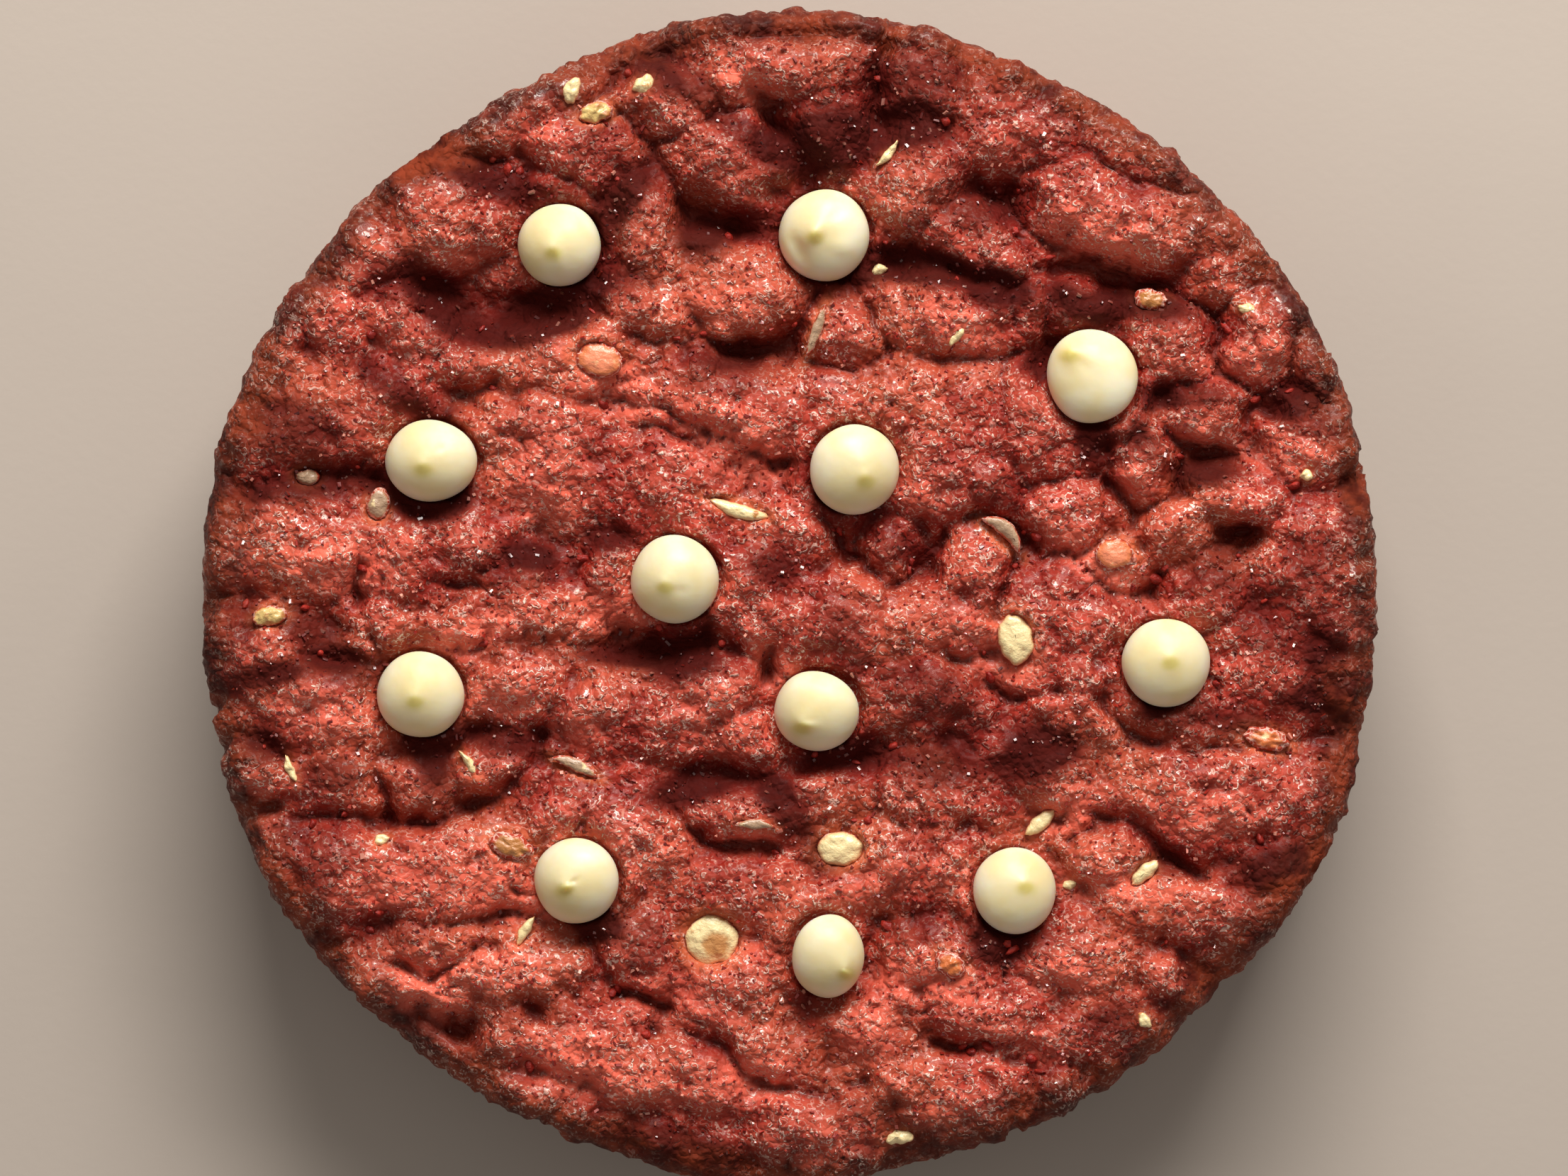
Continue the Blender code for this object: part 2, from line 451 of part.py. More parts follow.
def place_chip(mesh, name):
    """Lean, tilt and set down a chip or its socket cutter that stands at the origin."""
    place, size, tip = CHIPS[name]
    level, tilt, toward = CHIP_SEATS[name]
    reach = hypot(tip[0] - place[0], tip[1] - place[1])
    lean = reach - CHIP_HEIGHT * sin(radians(tilt))
    for vertex in mesh.verts:
        shift = lean * max(0.0, min(1.0, vertex.co.z / CHIP_HEIGHT)) ** 2
        vertex.co.x += shift * cos(toward)
        vertex.co.y += shift * sin(toward)
    axis = Vector((-sin(toward), cos(toward), 0.0))
    bmesh.ops.rotate(mesh, verts=mesh.verts[:], matrix=Matrix.Rotation(radians(tilt), 3, axis))
    bottom = BODY_HEIGHT + level - CHIP_SINK
    bmesh.ops.translate(mesh, verts=mesh.verts[:], vec=(place[0], place[1], bottom))


def place_piece(mesh, place, turn, thickness):
    """Turn a baked-in piece and sink it until a little of it stands proud."""
    bmesh.ops.rotate(mesh, verts=mesh.verts[:], matrix=Matrix.Rotation(radians(turn), 3, "Z"))
    middle = level_at(*place) - thickness / 2.0 * (1.0 - 2.0 * PIECE_PROUD)
    bmesh.ops.translate(mesh, verts=mesh.verts[:], vec=(place[0], place[1], middle))


def finish(mesh, name, material, collection=None):
    """Bring a mesh in millimetres to metres and make it an object."""
    bmesh.ops.triangulate(mesh, faces=mesh.faces[:])
    bmesh.ops.recalc_face_normals(mesh, faces=mesh.faces[:])
    bmesh.ops.scale(mesh, verts=mesh.verts[:], vec=(MM, MM, MM))
    data = bpy.data.meshes.new(name)
    mesh.to_mesh(data)
    mesh.free()
    data.materials.append(material)
    data.shade_smooth()
    made = bpy.data.objects.new(name, data)
    (collection or bpy.context.scene.collection).objects.link(made)
    return made


def build_chip(name, material):
    """One whole chip: flat underneath, round sides and a drawn-out tip."""
    mesh = bmesh.new()
    size = CHIPS[name][1]
    add_turned(mesh, [(radius, height * CHIP_HEIGHT) for radius, height in CHIP_PROFILE], CHIP_HEIGHT)
    bmesh.ops.scale(mesh, verts=mesh.verts[:], vec=(size[0] / 2.0, size[1] / 2.0, 1.0))
    place_chip(mesh, name)
    return finish(mesh, name, material)


def build_chip_cutter(name, material, collection):
    """The socket of a chip, open upward: the chip's lower half grown by the gap."""
    mesh = bmesh.new()
    size = CHIPS[name][1]
    foot, widest = CHIP_PROFILE[0], CHIP_PROFILE[1]
    lip = widest[1] * CHIP_HEIGHT
    add_turned(mesh, ((foot[0], -GAP), (widest[0], lip), (widest[0], 2.0 * CHIP_HEIGHT)))
    grow = (size[0] / 2.0 + SOCKET_GAP, size[1] / 2.0 + SOCKET_GAP, 1.0)
    bmesh.ops.scale(mesh, verts=mesh.verts[:], vec=grow)
    place_chip(mesh, name)
    return finish(mesh, name + "_cutter", material, collection)


def build_baked_piece(name, materials, grow=0.0, collection=None):
    """A piece of chip sunk in the dough, or the cutter of its socket."""
    place, length, width, turn, bow, colour = BAKED_PIECES[name]
    thickness = min(PIECE_THICKNESS, width * THICKEST_SHARE)
    mesh = bmesh.new()
    add_oval(mesh, length, width, thickness, bow, grow)
    place_piece(mesh, place, turn, thickness)
    if collection:
        return finish(mesh, name + "_cutter", materials[colour], collection)
    return finish(mesh, name, materials[colour])


def build_slivers(collection, material):
    """The fused slivers, ready for one union with the dough."""
    for number, (x, y, length, width, turn) in enumerate(FUSED_SLIVERS):
        mesh = bmesh.new()
        bmesh.ops.create_icosphere(mesh, subdivisions=1, radius=0.5)
        bmesh.ops.scale(mesh, verts=mesh.verts[:], vec=(length, width, SLIVER_THICKNESS))
        place_piece(mesh, (x, y), turn, SLIVER_THICKNESS)
        finish(mesh, "sliver_" + str(number), material, collection)


def apply_boolean(target, collection, operation):
    """Apply one Boolean with a whole collection, then remove the collection."""
    boolean = target.modifiers.new(operation.lower(), "BOOLEAN")
    boolean.operation = operation
    boolean.operand_type = "COLLECTION"
    boolean.collection = collection
    boolean.solver = "EXACT"
    evaluated = target.evaluated_get(bpy.context.evaluated_depsgraph_get())
    shaped = bpy.data.meshes.new_from_object(evaluated)
    target.modifiers.clear()
    target.data = shaped
    for cutter in list(collection.objects):
        bpy.data.objects.remove(cutter, do_unlink=True)
    bpy.data.collections.remove(collection)


def new_collection(name):
    collection = bpy.data.collections.new(name)
    bpy.context.scene.collection.children.link(collection)
    return collection


def build_dough(material, piece_materials):
    """The body of the pie with its slivers fused on and a socket for each chip."""
    mesh = bmesh.new()
    add_top(mesh)
    add_side_and_base(mesh)
    dough = finish(mesh, "dough", material)
    slivers = new_collection("slivers")
    build_slivers(slivers, material)
    apply_boolean(dough, slivers, "UNION")
    cutters = new_collection("cutters")
    for name in CHIPS:
        build_chip_cutter(name, material, cutters)
    for name in BAKED_PIECES:
        build_baked_piece(name, piece_materials, GAP, cutters)
    apply_boolean(dough, cutters, "DIFFERENCE")
    dough.data.shade_smooth()
    return dough


def main():
    clear_scene()
    crumb = make_material("red_crumb", CRUMB_RED, 0.55)
    chocolate = make_material("white_chocolate", WHITE_CHOCOLATE, 0.35)
    piece_materials = {
        name: make_material("baked_" + name, colour, 0.4) for name, colour in CHIP_COLOURS.items()
    }
    build_dough(crumb, piece_materials)
    for name in CHIPS:
        build_chip(name, chocolate)
    for name in BAKED_PIECES:
        build_baked_piece(name, piece_materials)


main()
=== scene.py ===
"""Looks of a thick round cookie pie with white chocolate chips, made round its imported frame.

The pie stands on z = 0 with the middle of its base at the origin and +Z up. Lengths in
the tables and in the functions that shape the dough are millimetres, and angles are
degrees; MM turns them into Blender's metres. X and Y are measured from the middle of the
pie, seen from above. The dough's lumps and hollows are those of the solids. Its folds and
some of its creases are gentler, as finer folds, grains and cracks lie over them.
"""

from math import atan2, cos, hypot, pi, radians, sin, tan

import bmesh
import bpy
import numpy
from bpy.props import FloatProperty, FloatVectorProperty, IntProperty, PointerProperty
from mathutils import Matrix, Vector, noise


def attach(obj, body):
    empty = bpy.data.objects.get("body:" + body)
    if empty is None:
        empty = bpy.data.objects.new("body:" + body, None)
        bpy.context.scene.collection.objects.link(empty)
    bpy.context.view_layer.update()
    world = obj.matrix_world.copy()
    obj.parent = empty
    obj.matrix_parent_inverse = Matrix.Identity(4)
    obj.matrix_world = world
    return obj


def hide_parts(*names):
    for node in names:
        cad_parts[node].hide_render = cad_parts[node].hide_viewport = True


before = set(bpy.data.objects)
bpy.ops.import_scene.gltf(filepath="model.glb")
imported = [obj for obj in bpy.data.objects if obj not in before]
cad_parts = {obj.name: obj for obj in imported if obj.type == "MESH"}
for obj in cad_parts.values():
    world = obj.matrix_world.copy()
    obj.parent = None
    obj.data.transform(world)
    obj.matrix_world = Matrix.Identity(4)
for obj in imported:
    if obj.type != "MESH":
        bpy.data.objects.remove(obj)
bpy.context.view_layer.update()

bl_info = {
    "name": "Cookie pie",
    "version": (1, 0, 0),
    "blender": (4, 5, 0),
    "location": "3D View > Sidebar > Cookie pie",
    "description": "Makes the dough, the chips, the grains and the light of a round cookie pie",
    "category": "Add Mesh",
}

MM = 0.001

# Sizes of the body, as in the solids
PIE_DIAMETER = 150.0
FOOT_DIAMETER = 147.0
BODY_HEIGHT = 24.6      # from the base to the level that the crags stand on
EDGE_ROLL = 3.4         # radius of the rolled upper edge
FOOT_ROUND = 1.6
SIDES_OF_FAN = 6

# How one lump of dough runs into the next
LUMP_GROWTH = 1.08
LUMP_CURVE = 2.1
LUMP_REACH = 2.5        # in half widths, past which a lump no longer counts
MEDIUM_LUMP = 5.0       # half width of a lump whose sides fall by its region's depth
SHARPEST_BLEND = 0.25
SOFTEST_BLEND = 0.9
BLEND_PATCH = 14.0      # size of the patches where creases are sharp or soft
BLEND_SEED = 23.0
CRAG_FLOOR = 0.4
CREASE_FLARE = 1.7      # a crease's mouth, in half widths
CREASE_CURVE = 1.5
HOLLOW_FLARE = 1.25
HOLLOW_CURVE = 1.3

# Unevenness of the dough: size of its features, height and seed
BENDS = ((8.0, 1.2, 1.7, 11.3), (3.0, 0.7, 5.1, 17.9))
SWELL = (13.0, 0.9, 31.0)
FOLDS = ((7.5, 1.0, 41.0), (3.6, 0.4, 47.0))
FOLD_MEAN = 0.2

# Finer unevenness, which the solids leave out, in the same way
SMALL_BENDS = ((1.6, 0.35, 57.0, 59.0),)
SMALL_FOLDS = ((3.4, 0.5, 53.0), (2.1, 0.4, 61.0), (1.15, 0.3, 67.0))
ROUGHNESS = (0.85, 0.5, 9.0, 71.0)      # mean, how much it varies, size and seed of its patches
GRAINS = ((6.2, 0.8, 72.0), (3.5, 0.75, 73.0), (2.0, 0.4, 74.0), (1.15, 0.16, 75.0))
CRACK_PATCH = (10.0, 79.0)
CRACK_LINE = (5.2, 0.045, 0.75, 83.0)   # spacing, width as a share, depth and seed
SEAM_MOUTH = 1.2        # how far two lumps differ in height at the lips of the seam between them
SEAM_DEPTHS = (0.0, 0.7)    # of the seams on the near side and on the far side to the right
SEAM_REACH = (-10.0, 45.0)      # over which they deepen
SEAM_PATCH = (12.0, 89.0)
GRAIN_SIDE = 0.75       # where a grain ends, as a share of the spacing

# How far the outline stands out from a true circle: angle and rise
OUTLINE_BUMPS = (
    (-24, 0.9), (-48, -0.6), (-78, -1.0), (-94, 0.75), (-110, -0.9), (-150, 0.8), (138, -0.7),
    (120, -0.7), (114, -0.8), (84, 0.2), (66, -0.6), (24, 0.9),
)
BUMP_SPREAD = 18.0      # degrees to either side
RIM_WAVE = 0.5
RIM_WAVE_TURNS = 6.0
RIM_WAVE_SEED = 3.0

# The raised lip of crust round the far edge: angle, spread to either side, rise
CRUST_LIPS = ((86, 22, 1.5), (52, 14, 0.7), (20, 12, 0.6))
LIP_WAVE = 0.5
LIP_LEAST = 0.8
LIP_WAVE_TURNS = 14.0
LIP_WAVE_SEED = 7.0

# Regions of lumps: how deep the dough falls away between them, then each lump's
# place, half length, half width, turn and height over the crag floor
LUMP_REGIONS = (
    (3.1, (
        (-44, 48.5, 9, 6, 22, 5.4), (-53.5, 43, 5, 4.5, 40, 4.8), (-48.5, 36, 7, 4, -40, 4.9),
        (-57.5, 35, 5, 5, 0, 4.6), (-64.5, 31, 5, 9, -25, 3.8), (-52, 52.5, 9, 2.6, 45, 3.3),
        (-35, 62, 11, 4.5, 28, 4.0), (-26, 57.5, 8, 6, -10, 4.4), (-15, 63, 7, 4.5, 10, 4.3),
        (-30, 51, 5, 4, 0, 3.2), (-18, 47, 3.8, 7, 12, 4.8), (-7.5, 56, 9, 6.5, -15, 4.6),
        (-7, 39.5, 8.5, 6, -15, 5.0), (-18.5, 37.5, 6.5, 4.5, -20, 4.5), (-41, 30, 7, 3, 0, 3.4),
        (-1, 67.5, 12, 5, 2, 4.8), (5, 60, 6.5, 6.5, 0, 4.6), (17.5, 65, 5.5, 7, 0, 4.2),
        (16, 53.5, 7, 6.5, -15, 5.6), (26.5, 61, 6.5, 9, 0, 4.6), (24, 46, 8, 4, -25, 4.8),
        (7.5, 33.5, 5.5, 5, -10, 4.9), (20, 36, 9.5, 6, -10, 5.3), (33.5, 59.5, 6, 5, -35, 4.6),
        (44, 56, 10, 3.4, -35, 4.4), (43, 49, 12, 5.5, -22, 6.0), (57, 44.5, 6.5, 8, -40, 4.8),
        (30.5, 37.5, 3.4, 3.2, -40, 4.0), (37, 37, 4.5, 4, 0, 3.8), (48.5, 33, 6, 5, -30, 5.0),
        (60, 34, 5, 6, 0, 4.8), (68, 29, 3.6, 5, 20, 3.6), (44.5, 19, 4, 6.5, 15, 4.4),
        (53, 24, 5, 4, 0, 4.4), (58, 13, 7, 4, -10, 4.6), (66, 20, 5.5, 6.5, 10, 4.6),
        (35.5, 11, 5.6, 4.6, -15, 5.0), (50, 8.5, 5.5, 4.2, 10, 4.7), (42, 4.5, 4, 3.8, -30, 4.2),
        (24, 4, 5.6, 5.6, 0, 5.0), (13, 6.5, 3.6, 4.2, 0, 3.8),
    )),
    (2.3, (
        (-28, 31, 8, 5.5, 20, 5.0), (-56, 25, 12, 8, 10, 4.0), (-63, 20, 7, 5, 0, 3.8),
        (33, 23, 7, 8, 0, 4.6), (67, 3, 8, 10, 0, 5.0), (54, 0.5, 5.5, 4.2, 0, 4.0),
        (36.5, -3, 10, 6, -15, 4.8), (62, -9, 9, 9, 0, 4.3), (37, -13, 8.5, 6.5, -20, 4.5),
        (51.5, -15, 9, 4, -10, 4.0), (54, -24.5, 15, 7.5, 0, 5.0), (33, -21, 8, 5, -15, 3.8),
        (-31, 20, 9, 8, 20, 4.8), (-9, 25, 11, 5.5, -12, 4.9), (-17, 14, 14, 7, -18, 4.4),
        (2, 10, 7, 6, 0, 4.2), (16, 24, 14, 7.5, 0, 4.9), (20, 15, 9, 6, -10, 4.4),
        (9, -2, 17, 5.5, 2, 4.8), (-20, 3, 8, 5, 0, 4.2), (-5, 2, 7, 6, 0, 4.4),
        (-33, 0, 7.5, 6, 0, 4.4), (17, -12, 8.5, 6, -15, 4.2), (-9, -11.5, 5, 3.4, -15, 4.6),
        (-16, -15, 6, 6, 0, 4.5), (-24, -14, 5, 5.5, 0, 4.6), (-4, -17.5, 6, 4, -10, 4.2),
        (18, -25, 8.5, 5.5, 0, 4.4), (4, -25, 6, 5, 0, 3.4), (-62, 7.5, 10.5, 6.5, 5, 5.2),
        (-49.5, 4.5, 5, 5.5, -30, 4.6), (-41, 7.5, 5.5, 5, 0, 4.5), (-41, -3, 6, 4, 5, 4.8),
        (-52, -3.5, 4.5, 5, 0, 4.3), (-67, -6, 6, 4.5, 0, 4.6), (-60, -13.5, 9.5, 6, -15, 5.0),
        (-34.5, -10.5, 7, 5.5, -10, 4.6), (-67, -22, 6, 2.8, -20, 4.4),
    )),
    (2.5, (
        (-57, -23, 7, 5.5, 0, 4.3), (-47.5, -24, 4.5, 4.5, 0, 4.0), (-37, -21.5, 6, 3.4, 15, 4.0),
        (-57, -34.5, 12, 6.5, -8, 4.9), (-42, -35, 12, 6.5, 10, 4.9),
        (-23, -29, 11, 7.5, -20, 4.9), (-47, -44.5, 7.5, 2.8, 5, 4.2),
        (-49, -49.5, 7, 3.6, -25, 4.3), (-35, -47.5, 9.5, 4.4, 0, 4.7), (-35, -56, 5, 3.8, 0, 4.2),
        (-25, -56.5, 8.5, 6, -10, 5.0), (-44, -58.5, 7, 3, -35, 3.2), (-31, -64, 9, 3.2, -22, 3.6),
        (-4.5, -28, 7, 3.4, -8, 4.4), (-1, -37.5, 13, 5.5, 0, 4.5), (17, -34.5, 9, 5.5, -5, 4.8),
        (-19, -45, 6.5, 5, -25, 4.2), (-7, -50, 9, 6.5, 0, 4.4), (-14.5, -60.5, 8.5, 5, -12, 4.8),
        (-2, -57.5, 6, 4.5, -20, 4.2), (10.5, -54, 7, 5.5, -20, 4.6),
        (20, -46.5, 7.5, 5, -15, 5.0), (25, -52.5, 9, 5, -15, 5.0), (20, -63, 12, 5, 0, 4.7),
        (3, -67, 9, 4.5, 0, 4.6), (-14, -68.5, 9, 3.4, -10, 3.4), (7.5, -72, 5, 2.6, 0, 3.8),
        (41.5, -32.5, 5.6, 4.6, -20, 4.9), (50, -39.5, 11, 5.2, 0, 4.9),
        (38, -45.5, 9, 4.6, 0, 4.8), (47.5, -48, 3, 2.8, 0, 4.6), (40, -54, 8.5, 4, 25, 4.2),
        (35, -63, 3.2, 2.6, 0, 4.2), (61, -36, 6, 4.5, 55, 4.0),
    )),
)

# Creases between lumps: the line that one follows, its half width and its depth
CREASES = (
    (((-4, 63), (0, 58.5), (4, 53)), 2.2, 2.4),
    (((12.5, 70), (11.3, 63), (12, 58)), 1.4, 2.2),
    (((29.5, 47), (31.5, 42)), 1.0, 1.6),
    (((-61, 16), (-54, 16.5), (-49, 14)), 1.8, 1.4),
    (((-55, 5), (-55, -2), (-52, -8)), 0.9, 1.2),
    (((-46, 3), (-40, 0.8), (-45, -1.5)), 0.9, 1.0),
    (((-20, 25.5), (-10, 20.7), (0, 17.5)), 1.1, 1.5),
    (((4, 9.5), (10, 4), (13, 2), (18, 4)), 1.4, 2.0),
    (((18.5, 5), (20, 9.5), (25, 10.8), (30, 7), (27, -2.5)), 0.9, 1.5),
    (((-2, -7), (-3, -11), (-5, -14)), 1.1, 1.2),
    (((40, -12), (43, -17.5), (50, -19), (58, -19)), 1.1, 1.5),
    (((24.5, -10), (29, -13), (34, -11.5)), 1.2, 1.5),
    (((-62, -28), (-50, -28.7), (-45, -29.4), (-40, -27), (-32, -21)), 1.2, 1.5),
    (((-52, -23), (-50.5, -28.5)), 0.9, 1.2),
    (((-50, -46.6), (-46, -48.8), (-41, -44.8), (-37, -45)), 0.9, 1.4),
    (((-16, -26), (-11, -31), (-3, -32.2), (3, -34)), 1.2, 1.4),
    (((11, -20), (11.5, -28)), 0.9, 0.9),
    (((-26, -44), (-21, -50), (-15, -52.5)), 1.1, 0.9),
    (((-17, -55.5), (-8, -57.3), (-4, -62), (5, -63.3), (9, -62)), 1.2, 1.3),
    (((9, -46), (13, -52), (20, -58), (28, -56.5)), 1.1, 1.2),
    (((36, -31.5), (39, -28), (45, -30), (53, -35)), 1.1, 1.7),
    (((-31, -14), (-32, -19)), 0.9, 1.2),
)

# Hollows and pits: place, half length, half width, turn and depth
HOLLOWS = (
    (-41, 38.5, 8, 5, 15, 3.2), (-30, 36.5, 7, 3, -10, 3.0), (-49, 56.5, 10, 1.8, 42, 2.0),
    (-9, 48, 5.5, 3, -10, 2.6), (0, 51, 5, 3, 0, 2.0), (17, 42, 8, 2, -12, 2.6),
    (-5, 31.8, 6.5, 2, 0, 2.6), (27, 52.5, 4.5, 4, 0, 1.8), (41, 41, 8, 2.2, -8, 2.4),
    (33.5, 30, 3.0, 3.4, 0, 3.0), (41, 13.5, 2.2, 2, 0, 1.6), (54.5, 17.5, 3.4, 2.2, -20, 2.8),
    (58, 8, 3, 1.6, 0, 1.8), (62, 24.5, 1.8, 1.8, 0, 2.0), (-17, 69.8, 5.5, 2.2, -14, 2.4),
    (-1, 72.2, 6.5, 1.6, 2, 2.0), (29, 67.3, 6, 1.2, -27, 1.8), (-66, -26, 2.2, 1.5, 0, 1.6),
    (29, -59, 1.9, 1.3, 0, 1.4), (25.5, -62, 1.5, 1.2, 0, 1.2), (-44.5, -54, 6.5, 2.6, -10, 2.6),
    (-16.5, -6.5, 9, 2.6, 0, 2.4), (5, -20.5, 7.5, 2.2, 0, 1.8), (-32, -53, 2.2, 1.2, -30, 1.4),
    (-28, 4.5, 2.4, 4, -20, 1.8), (-57.5, -8, 4, 1.3, 0, 1.2), (-37.5, -8, 1.4, 1.2, 0, 1.2),
    (-8, -23, 7, 2.5, 10, 1.2), (66, -3, 1.0, 3.2, 20, 0.9), (22, 70, 5, 1.2, -20, 1.2),
)

